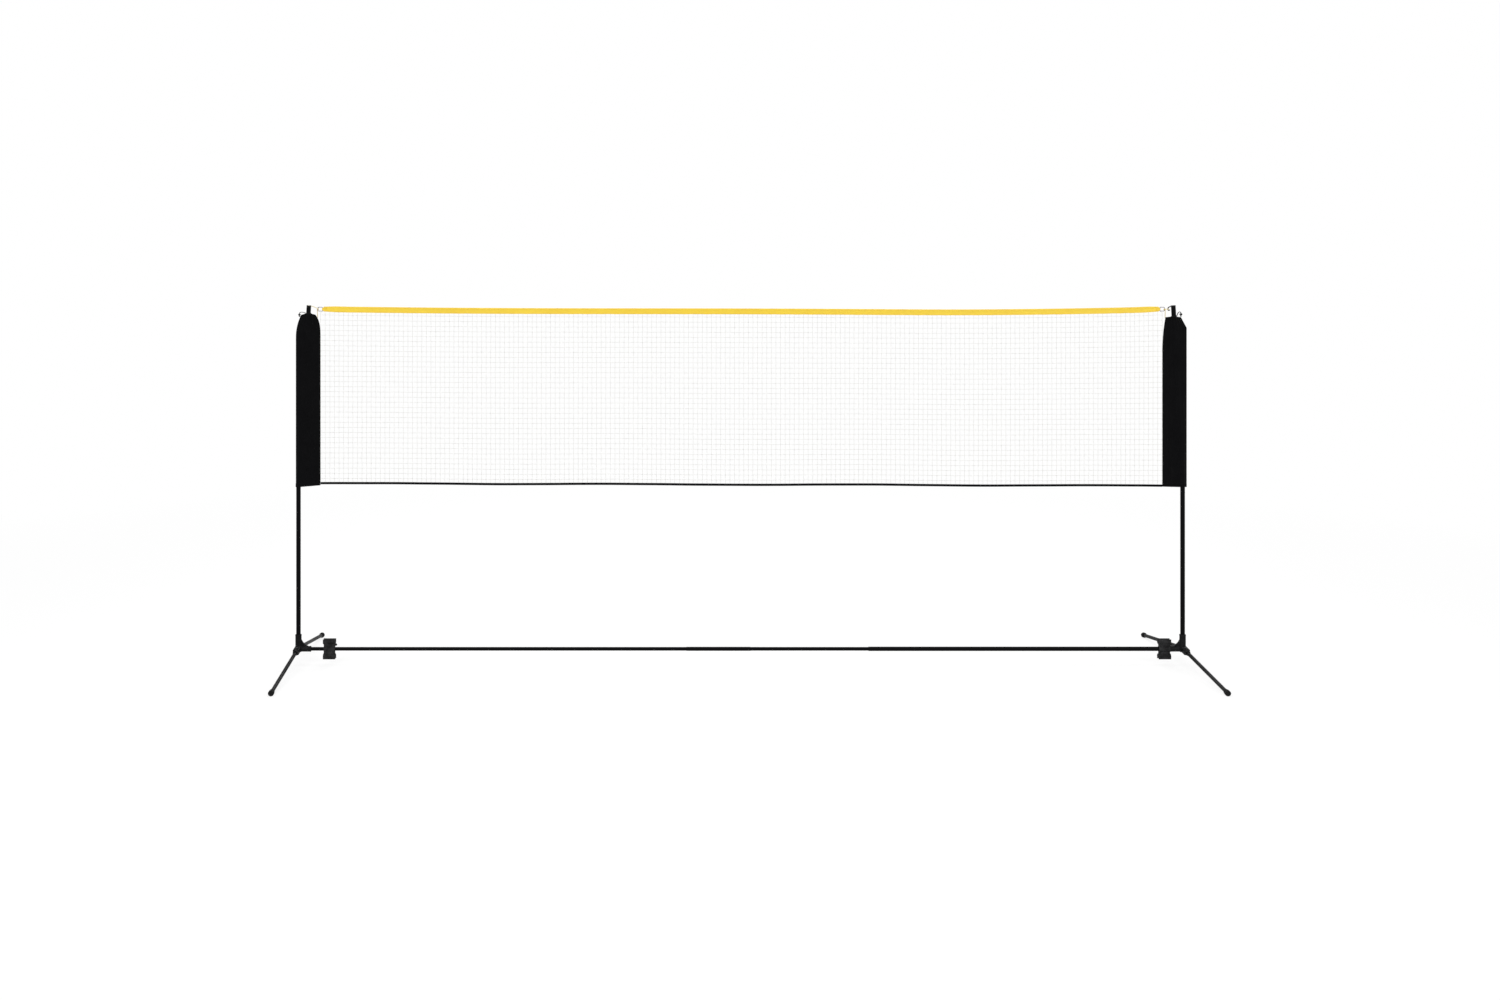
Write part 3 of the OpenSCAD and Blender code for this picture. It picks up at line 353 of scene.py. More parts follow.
# ---- Corner cords ----
# A thin yellow braided cord is hitched round each ring's outer bar and sewn to the sleeve's inner shoulder.
# It keeps the sleeve up and close to the tape's end.

yellow_cord, tree, shader, place = material("yellow braided cord", (0.66, 0.46, 0.06), 0.6)
fibres = noise_on(tree, place, 4800, 3)
paint(tree, shader, fibres, (0.3, (0.36, 0.23, 0.02)), (0.7, (0.76, 0.54, 0.08)))
relief(tree, shader, (fibres, 0.00008))

tape_end_z = 1.580
ring_offset = {"left": 0.0865, "right": 0.0805}
corner_end = {"left": 0.08535, "right": 0.07782}
ring_wire_r = 0.0015
hitch_r = 0.0031
corner_drop = 0.038
corner_z = tape_end_z - ring_wire_r - cord_d / 2 - clearance


def hitch(side, z, leave):
    """Points of a cord round a ring's outer bar, ending where it leaves upwards (1) or downwards (-1)."""
    points = [at_pole(side, ring_offset[side] + hitch_r * math.cos(math.radians(turn)),
                      hitch_r * math.sin(math.radians(turn)), z) for turn in range(-140, 151, 20)]
    return points + [at_pole(side, ring_offset[side] - hitch_r, 0, z + leave * cord_d / 2)]


for side in inward:
    points = hitch(side, corner_z, -1) + [at_pole(side, corner_end[side], 0, tape_end_z - corner_drop)]
    route = smooth_path(points, route_step)
    corner = braided_cord(f"{side}_corner_cord_braid", route, cord_d, Vector((0, 0, 1)))
    finish(corner, yellow_cord)
    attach(corner, "upper_frame")
    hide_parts(f"{side}_corner_cord")

# ---- Left tie ----
# A round elastic cord in pale yellow is hitched round the left ring's outer bar. It runs into the pole cap's
# slot, and its knot sits where the two slots cross.

pale_elastic, tree, shader, place = material("pale yellow elastic", (0.80, 0.64, 0.20), 0.66)
threads = noise_on(tree, place, 3600, 3)
paint(tree, shader, threads, (0.3, (0.62, 0.48, 0.12)), (0.7, (0.88, 0.73, 0.27)))
relief(tree, shader, (threads, 0.00007))

slot_floor = 0.003 + clearance
knot_x = lean_x("left", pole_end)
tie_z = pole_end + slot_floor + cord_d / 2
tie_rise = 0.0026
knot_rise = 0.0011
stretched_d = 0.0019
points = hitch("left", tape_end_z + tie_rise, 1)
points += [at_pole("left", knot_x + pole_r + cord_d, 0, tie_z), at_pole("left", knot_x, 0, tie_z)]
route = smooth_path(points, route_step)
tie = braided_cord("left_tie_elastic", route, cord_d, Vector((0, 0, 1)))
turns = overhand(points[-1] + Vector((0, 0, knot_rise)), 0.00085, 0.00085, 0.0010, 1.2)
tie_knot = braided_cord("left_tie_knot", turns, stretched_d, Vector((0, 0, 1)))
for piece in (tie, tie_knot):
    finish(piece, pale_elastic)
    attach(piece, "upper_frame")
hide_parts("left_tie_band")

# ---- Cord locks ----
# A drawcord's two strands pass through a small moulded barrel. A sprung push button across them pinches them
# until it is pressed.

lock_d = 0.009
lock_len = 0.012
button_rim = 0.0013
button_sunk = 0.0008
button_gap = 0.0003
button_rise = 0.0034
dish_rim = 0.0008
dish_deep = 0.0003
black_lock, tree, shader, place = material("black acetal", (0.009, 0.009, 0.0095), 0.42, specular=0.15)
relief(tree, shader, (noise_on(tree, place, 3000, 2), 0.00003))
for side in inward:
    _, _, strands = drawcords[side]
    middle = (strands[1][-1] + strands[1][-2] + strands[-1][-1] + strands[-1][-2]) / 4
    deselect()
    bpy.ops.mesh.primitive_cylinder_add(vertices=48, radius=lock_d / 2, depth=lock_len, location=middle,
                                        rotation=(math.pi / 2, 0, 0))
    lock = bpy.context.object
    lock.name = lock.data.name = f"{side}_cord_lock_barrel"
    bpy.ops.object.transform_apply(location=True, rotation=True, scale=True)
    # a push button stands out of the rear end, with a dish for the finger
    bpy.ops.object.mode_set(mode="EDIT")
    bpy.ops.mesh.select_all(action="DESELECT")
    bpy.ops.mesh.select_mode(type="FACE")
    shell = bmesh.from_edit_mesh(lock.data)
    for face in shell.faces:
        face.select_set(face.normal.y > 0.9)
    bmesh.update_edit_mesh(lock.data)
    bpy.ops.mesh.inset(thickness=button_rim)
    bpy.ops.mesh.extrude_region_move(TRANSFORM_OT_translate={"value": (0, -button_sunk, 0)})
    bpy.ops.mesh.inset(thickness=button_gap)
    bpy.ops.mesh.extrude_region_move(TRANSFORM_OT_translate={"value": (0, button_rise, 0)})
    bpy.ops.mesh.inset(thickness=dish_rim)
    bpy.ops.transform.translate(value=(0, -dish_deep, 0))
    deselect()
    for flip in (-1, 1):
        bpy.ops.mesh.primitive_cylinder_add(vertices=32, radius=cord_d / 2 + clearance, depth=2 * lock_d,
                                            location=middle + Vector((0, flip * strand_gap / 2, 0)))
        drill = bpy.context.object
        add_modifier(lock, "BOOLEAN", operation="DIFFERENCE", object=drill, solver="EXACT")
        bpy.data.objects.remove(drill)
    add_modifier(lock, "BEVEL", width=0.0004, segments=3, limit_method="ANGLE",
                 angle_limit=math.radians(35))
    smooth(lock, 35)
    finish(lock, black_lock)
    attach(lock, "upper_frame")
    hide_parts(f"{side}_cord_lock")
for side in inward:
    drawcord, route, strands = drawcords[side]

# ---- Floor and light ----
# A plain white floor keeps the net's soft shadow and fades into a white world towards its rim. Four large
# soft lamps stand round the net, and one of them is above it.

deselect()
bpy.ops.mesh.primitive_circle_add(vertices=96, radius=9, fill_type="NGON", location=(0, 0, 0))
floor = bpy.context.object
floor.name = "floor"
floor_paint, tree, shader, place = material("white floor", (0.92, 0.92, 0.92), 0.9)
# it glows only where it is seen, straight or as a reflection, and so it isn't a lamp of its own
seen = node(tree, "LightPath")
seen_or_mirrored = node(tree, "Math", {0: seen.outputs["Is Camera Ray"], 1: seen.outputs["Is Glossy Ray"]},
                        operation="MAXIMUM").outputs[0]
from_middle = node(tree, "VectorMath", {0: place}, operation="LENGTH").outputs["Value"]
fade_span = {"Value": from_middle, "From Min": 2.5, "From Max": 6.5, "To Max": 1.0}
fade = node(tree, "MapRange", {**fade_span, "To Min": 0.74}).outputs[0]
bright_share = node(tree, "Math", {0: seen_or_mirrored, 1: fade}, operation="MULTIPLY").outputs[0]
level = node(tree, "MapRange", {**fade_span, "To Min": 1.08}).outputs[0]
white_glow = node(tree, "Emission", {"Color": (1, 1, 1, 1), "Strength": level}).outputs[0]
mixed = node(tree, "MixShader", {0: bright_share, 1: shader.outputs[0], 2: white_glow})
tree.links.new(mixed.outputs[0], tree.nodes["Material Output"].inputs["Surface"])
finish(floor, floor_paint)

bpy.context.scene.view_settings.view_transform = "Standard"
world = bpy.data.worlds.new("white room")
bpy.context.scene.world = world
world.use_nodes = True
tree = world.node_tree
sky = tree.nodes["Background"]
seen = node(tree, "LightPath")
direct = node(tree, "Math", {0: seen.outputs["Is Camera Ray"], 1: seen.outputs["Is Transmission Ray"]},
              operation="MAXIMUM").outputs[0]
direct = node(tree, "Math", {0: direct, 1: seen.outputs["Is Glossy Ray"]}, operation="MAXIMUM").outputs[0]
strength = node(tree, "MapRange", {"Value": direct, "To Min": 0.30, "To Max": 1.0}).outputs[0]
sky.inputs["Color"].default_value = (1, 1, 1, 1)
tree.links.new(strength, sky.inputs["Strength"])


def area_lamp(name, place, aim, width, height, power):
    """A soft rectangular lamp turned towards a point."""
    data = bpy.data.lights.new(name, "AREA")
    data.shape = "RECTANGLE"
    data.size, data.size_y = width, height
    data.energy = power
    lamp = bpy.data.objects.new(name, data)
    bpy.context.scene.collection.objects.link(lamp)
    lamp.location = place
    lamp.rotation_euler = (Vector(aim) - Vector(place)).to_track_quat("-Z", "Y").to_euler()


area_lamp("key lamp", (-3.4, -5.4, 4.6), (0, 0, 0.8), 3.5, 2.5, 170)
area_lamp("fill lamp", (4.6, -4.8, 3.0), (0, 0, 0.8), 3.0, 3.0, 110)
area_lamp("top lamp", (0, 0.6, 5.4), (0, 0, 0), 5.0, 3.0, 120)
area_lamp("rear lamp", (0.5, 5.4, 4.0), (0, 0, 0.8), 5.0, 2.0, 110)

# ---- Tubes ----
# Crossbar, poles and legs are thin-walled steel tubes, powder-coated satin black before they are plugged
# together. The coat has a fine orange peel and light scuffs.

black_tube, tree, shader, place = material("black powder coat", (0.004, 0.004, 0.0045), 0.36, specular=0.03)
peel = noise_on(tree, place, 620, 2)
patches = noise_on(tree, place, 14, 4)
scuffs = noise_on(tree, place, 95, 8, 0.72)
paint(tree, shader, scuffs, (0.62, (0.004, 0.004, 0.0045)), (0.78, (0.018, 0.018, 0.019)))
roughen(tree, shader, patches, 0.30, 0.44)
relief(tree, shader, (peel, 0.00006))


def dress(names, made):
    """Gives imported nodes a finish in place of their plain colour."""
    for name in names:
        finish(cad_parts[name], made)


corners = [f"{end}_{side}" for end in ("front", "rear") for side in inward]
dress(["left_crossbar_tube", "crossbar_ferrule", "middle_crossbar_tube", "right_crossbar_tube",
       "left_lower_pole", "right_lower_pole", "left_upper_pole", "right_upper_pole"]
      + [f"{corner}_leg_tube" for corner in corners], black_tube)

# ---- Mouldings ----
# Elbows, hinge knuckles and pole caps are injection-moulded black nylon with a spark-eroded grain, fine
# flow marks and edges rounded by the mould.


def moulded(name, colour, light, rough):
    """Moulded plastic: grain, faint flow marks, a painted highlight along the edges and rounded corners."""
    made, tree, shader, place = material(name, colour, rough, specular=0.06)
    grain = noise_on(tree, place, 2600, 2)
    flow = noise_on(tree, place, 38, 5, 0.6)
    round_edges = node(tree, "Bevel", {"Radius": 0.0011}, samples=4).outputs[0]
    flat = node(tree, "NewGeometry").outputs["Normal"]
    turned = node(tree, "VectorMath", {0: round_edges, 1: flat}, operation="DOT_PRODUCT").outputs["Value"]
    edge = node(tree, "MapRange", {"Value": turned, "From Min": 0.995, "From Max": 0.86}).outputs[0]
    # the edges are painted in the paler colour, mottled by the flow marks: a painted highlight
    painted_edge_highlight = node(tree, "Math", {0: edge, 1: flow}, operation="MULTIPLY").outputs[0]
    body = ramp(tree, flow, (0.35, colour), (0.7, tuple(0.5 * (a + b) for a, b in zip(colour, light))))
    coloured = node(tree, "Mix", {"Factor": painted_edge_highlight, "A": body, "B": (*light, 1)}, data_type="RGBA")
    tree.links.new(coloured.outputs["Result"], shader.inputs["Base Color"])
    roughen(tree, shader, flow, rough - 0.06, rough + 0.06)
    bump = node(tree, "Bump", {"Height": grain, "Distance": 0.00005, "Strength": 1, "Normal": round_edges})
    tree.links.new(bump.outputs[0], shader.inputs["Normal"])
    return made


# the second colour is the paler tone of the flow marks and of the painted highlight on the edges
black_nylon = moulded("black moulded nylon", (0.006, 0.006, 0.0065), (0.026, 0.026, 0.028), 0.46)
dress(["left_elbow", "right_elbow", "left_pole_cap", "right_pole_cap"]
      + [f"{corner}_leg_knuckle" for corner in corners], black_nylon)

# ---- Storage clips ----
# The clips on the crossbar are moulded in a softer charcoal plastic, so that the cradles can spring open
# over a folded leg.

# the paler colour, 0.070, is mostly the painted highlight along the clips' edges
charcoal_plastic = moulded("charcoal clip plastic", (0.010, 0.010, 0.0105), (0.070, 0.070, 0.072), 0.5)
dress(["left_storage_clip", "right_storage_clip"], charcoal_plastic)

# ---- Foot caps ----
# Push-on caps of black rubber with grip grooves, one on each leg. They are dull, and dusty where they meet
# the floor.

black_rubber, tree, shader, place = material("black rubber", (0.011, 0.011, 0.011), 0.78, specular=0.1)
height = node(tree, "SeparateXYZ", {"Vector": place}).outputs["Z"]
low = node(tree, "MapRange", {"Value": height, "From Min": 0.010, "From Max": 0.0}).outputs[0]
speckle = noise_on(tree, place, 420, 5, 0.65)
dust = node(tree, "Math", {0: low, 1: speckle}, operation="MULTIPLY").outputs[0]
paint(tree, shader, dust, (0.15, (0.010, 0.010, 0.010)), (0.75, (0.050, 0.048, 0.045)))
relief(tree, shader, (noise_on(tree, place, 1500, 3), 0.00006))
dress([f"{corner}_foot_cap" for corner in corners], black_rubber)

# ---- Hinge pins ----
# Each leg turns on a riveted steel pin through the elbow's two ears. The pins are blackened so that they
# don't rust.

black_steel, tree, shader, place = material("blackened steel", (0.05, 0.05, 0.053), 0.42, 1.0)
bloom = noise_on(tree, place, 240, 5, 0.62)
paint(tree, shader, bloom, (0.35, (0.03, 0.03, 0.032)), (0.7, (0.09, 0.09, 0.094)))
relief(tree, shader, (noise_on(tree, place, 1900, 2), 0.00002))
dress(["hinge_pins"], black_steel)

# ---- Rings ----
# The rings at the tape's ends are bent from 3 mm steel wire and plated. They are polished where the bands and
# cords rub.

ring_steel, tree, shader, place = material("ring steel", (0.22, 0.20, 0.22), 0.32, 1.0)
worn = noise_on(tree, place, 160, 4, 0.6)
paint(tree, shader, worn, (0.35, (0.14, 0.125, 0.14)), (0.7, (0.30, 0.27, 0.30)))
relief(tree, shader, (noise_on(tree, place, 1300, 2), 0.00002))
dress(["left_ring", "right_ring"], ring_steel)

# ---- Tension hook ----
# A hook of steel wire in a black vinyl coat, 4.4 mm thick, hangs in the right cap's crossed slots. Its tail
# lies in the rear slot, and its curl holds the tie band.

hook_d = 0.0044
black_vinyl, tree, shader, place = material("black vinyl coat", (0.007, 0.007, 0.0075), 0.34, specular=0.12)
relief(tree, shader, (noise_on(tree, place, 700, 2), 0.00004))
hook_step = 0.0005
hook_seat = slot_floor + hook_d / 2
band_h = 0.003
curl_x = 0.024
curl_r = 0.9 * hook_d
curl_z = tape_end_z - pole_end - band_h / 2 - clearance
# the points are measured from the pole's end: the tail, the bend into the other slot, the arm and the curl
hook_points = [(0, 0.0070, hook_seat), (0, 0.0052, hook_seat), (0, 0.0033, hook_seat),
               (0.0008, 0.0008, hook_seat), (0.0033, 0, hook_seat), (0.0065, 0, hook_seat),
               (0.0100, 0, hook_seat - 0.0006), (0.0165, 0, 0.5 * (hook_seat + curl_z + 2 * curl_r)),
               (0.0226, 0, curl_z + 2 * curl_r + 0.0006), (curl_x, 0, curl_z + curl_r), (curl_x, 0, curl_z)]
hook_points += [(curl_x - curl_r + curl_r * math.cos(math.radians(turn)), 0,
                 curl_z + curl_r * math.sin(math.radians(turn))) for turn in range(-30, -181, -30)]
hook_path = smooth_path([at_pole("right", lean_x("right", pole_end) + x, y, pole_end + z)
                         for x, y, z in hook_points], hook_step)
hook = new_grid("tension_hook_wire", 24, len(hook_path) - 1)
hook_frames = path_frames(hook_path, Vector((0, 0, 1)))


def on_hook(turn, share):
    """A point of the coated wire, with a rounded tip at each end."""
    i = round(share * (len(hook_path) - 1))
    from_end = min(i, len(hook_path) - 1 - i) * hook_step
    round_tip = math.sqrt(max(0.02, 1 - max(0, 1 - from_end / (hook_d / 2)) ** 2))
    angle = 2 * math.pi * turn
    _, across, over = hook_frames[i]
    return hook_path[i] + hook_d / 2 * round_tip * (math.cos(angle) * across + math.sin(angle) * over)


shape_points(hook, on_hook)
merge_seam(hook)
close_ends(hook)
smooth(hook, 60)
finish(hook, black_vinyl)
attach(hook, "upper_frame")
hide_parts("tension_hook")

# ---- Right tie band ----
# A flat loop of covered elastic, 3 mm wide, pulls the right ring to the hook's curl. Fine ribs run across it,
# where its cover is woven round the rubber.

band_t = 0.0018
rib_step = 0.00055
rib_deep = 0.10
band_corner = 0.6
post_x = lean_x("right", pole_end) + curl_x
reach = ring_offset["right"] - post_x
round_hook = hook_d / 2 + clearance + band_t / 2
round_ring = ring_wire_r + clearance + band_t / 2
touch = math.acos((round_hook - round_ring) / reach)
outline = []
for k in range(49):
    turn = touch + (2 * math.pi - 2 * touch) * k / 48
    outline.append(Vector((round_hook * math.cos(turn), round_hook * math.sin(turn), 0)))
for k in range(25):
    turn = -touch + 2 * touch * k / 24
    outline.append(Vector((reach + round_ring * math.cos(turn), round_ring * math.sin(turn), 0)))
outline.append(outline[0].copy())
evened = []
for a, b in zip(outline, outline[1:]):
    pieces = max(1, round((b - a).length / rib_step))
    evened += [a.lerp(b, k / pieces) for k in range(pieces)]
count = len(evened)
band_frames = path_frames(evened, Vector((0, 0, 1)), closed=True)
band = new_grid("right_tie_elastic", 16, count)


def on_band(turn, share):
    """A point of the band's rounded oblong section, thinner between two ribs."""
    i = round(share * count) % count
    angle = 2 * math.pi * turn
    rib = 1 - rib_deep * (i % 3 == 0)
    wide = band_h / 2 * rib * math.copysign(abs(math.cos(angle)) ** band_corner, math.cos(angle))
    thick = band_t / 2 * rib * math.copysign(abs(math.sin(angle)) ** band_corner, math.sin(angle))
    _, across, over = band_frames[i]
    local = evened[i] + wide * across + thick * over
    return at_pole("right", post_x + local.x, local.y, tape_end_z + local.z)


shape_points(band, on_band)
merge_seam(band)
smooth(band, 50)
finish(band, pale_elastic)
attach(band, "upper_frame")
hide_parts("right_tie_band")

# ---- Pole sleeves ----
# Each pole slides up into a wide tube of black polyester cloth. The tube's inner edge is sewn to the net, its
# hem is turned up and stitched twice, and its neck is drawn up in gathers under the cord.

# a shoulder is its inset, the length over which that fades, and the fade's power
sleeve_forms = {
    "left": {"long": 0.771, "inner": 0.0975, "outer": 0.0115, "rise": 0.007,
             "inner_shoulder": (0.027, 0.120, 4), "outer_shoulder": (0.027, 0.110, 2.2), "neck": 0.006},
    "right": {"long": 0.757, "inner": 0.0895, "outer": 0.018, "rise": 0.001,
              "inner_shoulder": (0.014, 0.150, 2), "outer_shoulder": (0.027, 0.050, 1), "neck": 0.003}}


def threads_on(tree, coordinates, axis, pitch):
    """Parallel threads across an axis, as a sine wave from -1 to 1."""
    along = node(tree, "SeparateXYZ", {"Vector": coordinates}).outputs[axis]
    turned = node(tree, "Math", {0: along, 1: 2 * math.pi / pitch}, operation="MULTIPLY").outputs[0]
    return node(tree, "Math", {0: turned}, operation="SINE").outputs[0]


def woven(tree, coordinates, warp, weft, pitch):
    """A plain weave: the threads of two axes times each other."""
    crossing = [threads_on(tree, coordinates, axis, pitch) for axis in (warp, weft)]
    return node(tree, "Math", {0: crossing[0], 1: crossing[1]}, operation="MULTIPLY").outputs[0]


black_cloth, tree, shader, place = material("black polyester cloth", (0.004, 0.004, 0.0045), 0.72,
                                            specular=0.03)
uv = node(tree, "TexCoord").outputs["UV"]
# the UV map is nearly in metres of cloth, so the weave keeps its size: threads about 0.5 mm apart
weave = woven(tree, uv, "X", "Y", 0.0005)
slubs = noise_on(tree, place, 320, 4, 0.6)
patches = noise_on(tree, place, 22, 3)
paint(tree, shader, slubs, (0.35, (0.002, 0.002, 0.0024)), (0.7, (0.0055, 0.0055, 0.006)))
roughen(tree, shader, patches, 0.62, 0.80)
relief(tree, shader, (slubs, 0.0001), (weave, 0.00004))
shader.inputs["Sheen Weight"].default_value = 0.02
shader.inputs["Sheen Roughness"].default_value = 0.45

sleeve_across = 104
sleeve_down = 250
sleeve_r = pole_r + 0.0009
pleat_r = 0.0108
hem_turn = 0.018
hem_fold = 0.0006
cloth_t = 0.0005
cloth_round = 0.29


def sleeve_widths(side, t):
    """Distances from the leaning pole's axis to a sleeve's inner and outer edge, t below its top."""
    form = sleeve_forms[side]
    inset, fade, power = form["inner_shoulder"]
    inner = form["inner"] - inset * max(0, 1 - t / fade) ** power
    inset, fade, power = form["outer_shoulder"]
    outer = -form["outer"] + inset * max(0, 1 - t / fade) ** power
    axis = lean_x(side, sleeve_top[side] - t)
    return inner - axis, axis - outer


def half_section(share, d_in, d_out, r, tip):
    """A point of one face of the cloth, from the inner edge over the pole to the outer edge."""
    a_in = math.atan2(tip, d_in) + math.acos(min(1, r / math.hypot(d_in, tip)))
    a_out = math.atan2(tip, d_out) + math.acos(min(1, r / math.hypot(d_out, tip)))
    straight_in = math.hypot(d_in - r * math.cos(a_in), tip - r * math.sin(a_in))
    straight_out = math.hypot(d_out - r * math.cos(a_out), tip - r * math.sin(a_out))
    arc = r * (math.pi - a_in - a_out)
    s = share * (straight_in + arc + straight_out)
    if s < straight_in:
        t = s / straight_in
        return (d_in + (r * math.cos(a_in) - d_in) * t, tip + (r * math.sin(a_in) - tip) * t,
                math.sin(a_in), math.cos(a_in))
    if s < straight_in + arc:
        a = a_in + (s - straight_in) / r
        return r * math.cos(a), r * math.sin(a), math.sin(a), math.cos(a)
    t = (s - straight_in - arc) / straight_out
    return (-r * math.cos(a_out) + (-d_out + r * math.cos(a_out)) * t, r * math.sin(a_out)
            + (tip - r * math.sin(a_out)) * t, math.sin(a_out), -math.cos(a_out))


def cloth_relief(side, face, s, t, long):
    """How far the cloth stands off at a place: gathers, long folds, slanting wrinkles."""
    seed = 3.1 if side == "left" else 8.7
    seed += 0 if face < 0 else 5.3
    edge = math.sin(math.pi * s) ** 0.6
    wander = noise.noise(Vector((seed, 4 * t, 0)))
    gathers = 0.0042 * math.exp(-t / 0.038) * (0.5 + 0.5 * math.cos(2 * math.pi * (7 * s + 0.35 * wander)))
    long_fold = 0.0026 * math.exp(-((s - 0.30 - 0.05 * wander - 0.03 * t) / 0.045) ** 2)
    second = 0.0022 * math.exp(-((s - 0.86 + 0.04 * wander) / 0.04) ** 2) * min(1, t / 0.08)
    slack = 0.0016 * (0.5 + 0.5 * math.sin(2 * math.pi * (1.15 * t / long * 3 + 0.9 * s + seed)))
    slanting = abs(noise.noise(Vector((16 * s + 26 * t + seed, 9 * t - 2.2 * s, seed))))
    creases = 0.0030 * (0.35 - min(0.35, slanting)) * (0.4 + 0.6 * math.exp(-t / 0.25))
    fine = 0.0007 * (0.5 + 0.5 * noise.noise(Vector((38 * s, 60 * t, seed + 9))))
    return edge * (gathers + long_fold + second + slack + creases + fine)


def new_mesh(name, points, polygons):
    """A piece from its points and faces, with the faces turned outwards."""
    mesh = bpy.data.meshes.new(name)
    mesh.from_pydata(points, [], polygons)
    made = bpy.data.objects.new(name, mesh)
    bpy.context.scene.collection.objects.link(made)
    face_outwards(made)
    return made


def stitches(name, places, width, made):
    """Rows of lock stitches: one small rounded thread, copied to every (place, along, out)."""
    deselect()
    bpy.ops.mesh.primitive_uv_sphere_add(segments=6, ring_count=4, radius=0.5)
    one = bpy.context.object
    pattern = [v.co.copy() for v in one.data.vertices]
    faces = [tuple(f.vertices) for f in one.data.polygons]
    bpy.data.objects.remove(one)
    points, polygons = [], []
    for spot, ahead, out in places:
        first = len(points)
        side_on = ahead.cross(out)
        for p in pattern:
            points.append(spot + p.z * stitch_len * ahead + p.x * width * side_on + p.y * width * out)
        polygons += [tuple(first + i for i in face) for face in faces]
    piece = new_mesh(name, points, polygons)
    smooth(piece, 80)
    finish(piece, made)
    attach(piece, "upper_frame")
    return piece


black_thread, tree, shader, place = material("black thread", (0.009, 0.009, 0.010), 0.6, specular=0.12)
relief(tree, shader, (noise_on(tree, place, 6000, 1), 0.00003))
stitch_pitch = 0.0042
stitch_len = 0.0034
hem_rows = (0.004, 0.015)
round_hem = 54
seam_share = 0.80
for side in inward:
    form = sleeve_forms[side]
    sleeve = new_grid(f"{side}_sleeve_cloth", sleeve_across, sleeve_down)

    def on_sleeve(turn, share, side=side, form=form):
        """A point of the cloth tube: once round, and down from the neck to the hem."""
        t = form["long"] * (1 - share)
        face = 1 if turn < 0.5 else -1
        s = 2 * turn if face > 0 else 2 - 2 * turn
        folded = hem_fold if t > form["long"] - hem_turn else 0
        r = sleeve_r + folded
        d_in, d_out = sleeve_widths(side, t)
        d_out = max(r + 0.001, d_out)
        x, y, slope_y, slope_x = half_section(s, d_in, d_out, r, 0.0010 + folded)
        stand = cloth_relief(side, face, s, t, form["long"])
        x += stand * slope_x * (1 if -r < x < r else 0.3)
        y += stand * max(0.35, slope_y)
        neck = min(1, t / form["neck"])
        neck = neck * neck * (3 - 2 * neck)
        if neck < 1:
            around = math.atan2(max(y, 1e-5), x)
            even = math.pi * s
            angle = 0.5 * (around + even)
            pleat = pleat_r + 0.0012 * (0.5 + 0.5 * math.cos(14 * even))
            x = (1 - neck) * pleat * math.cos(angle) + neck * x
            y = (1 - neck) * pleat * math.sin(angle) + neck * y
        z = sleeve_top[side] - t
        rise = form["rise"] * max(0, x / d_in) * (t / form["long"]) ** 6
        return at_pole(side, lean_x(side, z) + x, face * y, z + rise)

    shape_points(sleeve, on_sleeve)
    for spot in sleeve.data.uv_layers.active.data:
        spot.uv = (spot.uv[0] * cloth_round, (1 - spot.uv[1]) * form["long"])
    merge_seam(sleeve)
    add_modifier(sleeve, "SOLIDIFY", thickness=cloth_t, offset=-1, use_even_offset=False)
    smooth(sleeve, 80)
    finish(sleeve, black_cloth)
    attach(sleeve, "upper_frame")
    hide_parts(f"{side}_pole_sleeve")
    # two rows round the hem, and the seam beside the net on both faces: where, and which way it goes on
    stitched = [((k + 0.5) / round_hem, up / form["long"], 0.004, 0) for up in hem_rows
                for k in range(round_hem)]
    stitched += [(turn, 0.03 + k * stitch_pitch / form["long"], 0, 0.004) for turn in (0.018, 0.982)
                 for k in range(int(seam_share * form["long"] / stitch_pitch))]
    spots = []
    for turn, share, on_round, on_up in stitched:
        spot = on_sleeve(turn, share)
        ahead = (on_sleeve(turn + on_round, share + on_up) - spot).normalized()
        beside = on_sleeve(turn + on_up, share + on_round) - spot
        out = ahead.cross(beside).normalized()
        out *= math.copysign(1, out.y * (0.5 - turn))
        spots.append((spot + 0.0001 * out, ahead, out))
    seams = stitches(f"{side}_sleeve_stitches", spots, 0.0007, black_thread)

# ---- Top tape ----
# Golden-yellow coated polyester, 54 mm wide, folded over the net's head rope and lock-stitched below the
# rope and along its lower edge. Each end is gathered and narrows to an eye sewn round the ring.

tape_h = 0.026
tape_narrowing = 0.18
tape_taper = 0.055
tape_sag = 0.0135
tape_low_x = 0.850
slack_rise = 0.0013
slack_drop = 0.0038
slack_wave = 2.67
slack_top_x = 0.11
slack_fade = 0.12
rope_r = 0.0021
face_y = 0.0013
ring_w = 0.021
eye_out = ring_wire_r + clearance + 0.0016
eye_gap = 0.003
eye_x = {side: inward[side] * (ring_offset[side] + ring_w - pole_x) for side in inward}
tape_from = eye_x["left"] + eye_out + eye_gap
tape_to = eye_x["right"] - eye_out - eye_gap


def tape_z(x):
    """Height of the top tape's middle, which sags between its ends and hangs in two shallow waves."""
    span = tape_low_x - eye_x["left"] if x < tape_low_x else eye_x["right"] - tape_low_x
    slack = slack_rise - slack_drop * math.sin(math.pi * (x - slack_top_x) / slack_wave) ** 2
    from_end = max(0, min(1, min(x - tape_from, tape_to - x) / slack_fade))
    return (tape_end_z - tape_sag * (1 - (abs(x - tape_low_x) / span) ** 1.6)
            + slack * from_end ** 2 * (3 - 2 * from_end))


def tape_half(x):
    """Half the tape's height, less where its ends are gathered."""
    near_end = min(1, max(0, 1 - min(x - tape_from, tape_to - x) / tape_taper))
    return tape_h / 2 * (1 - tape_narrowing * near_end ** 1.3)


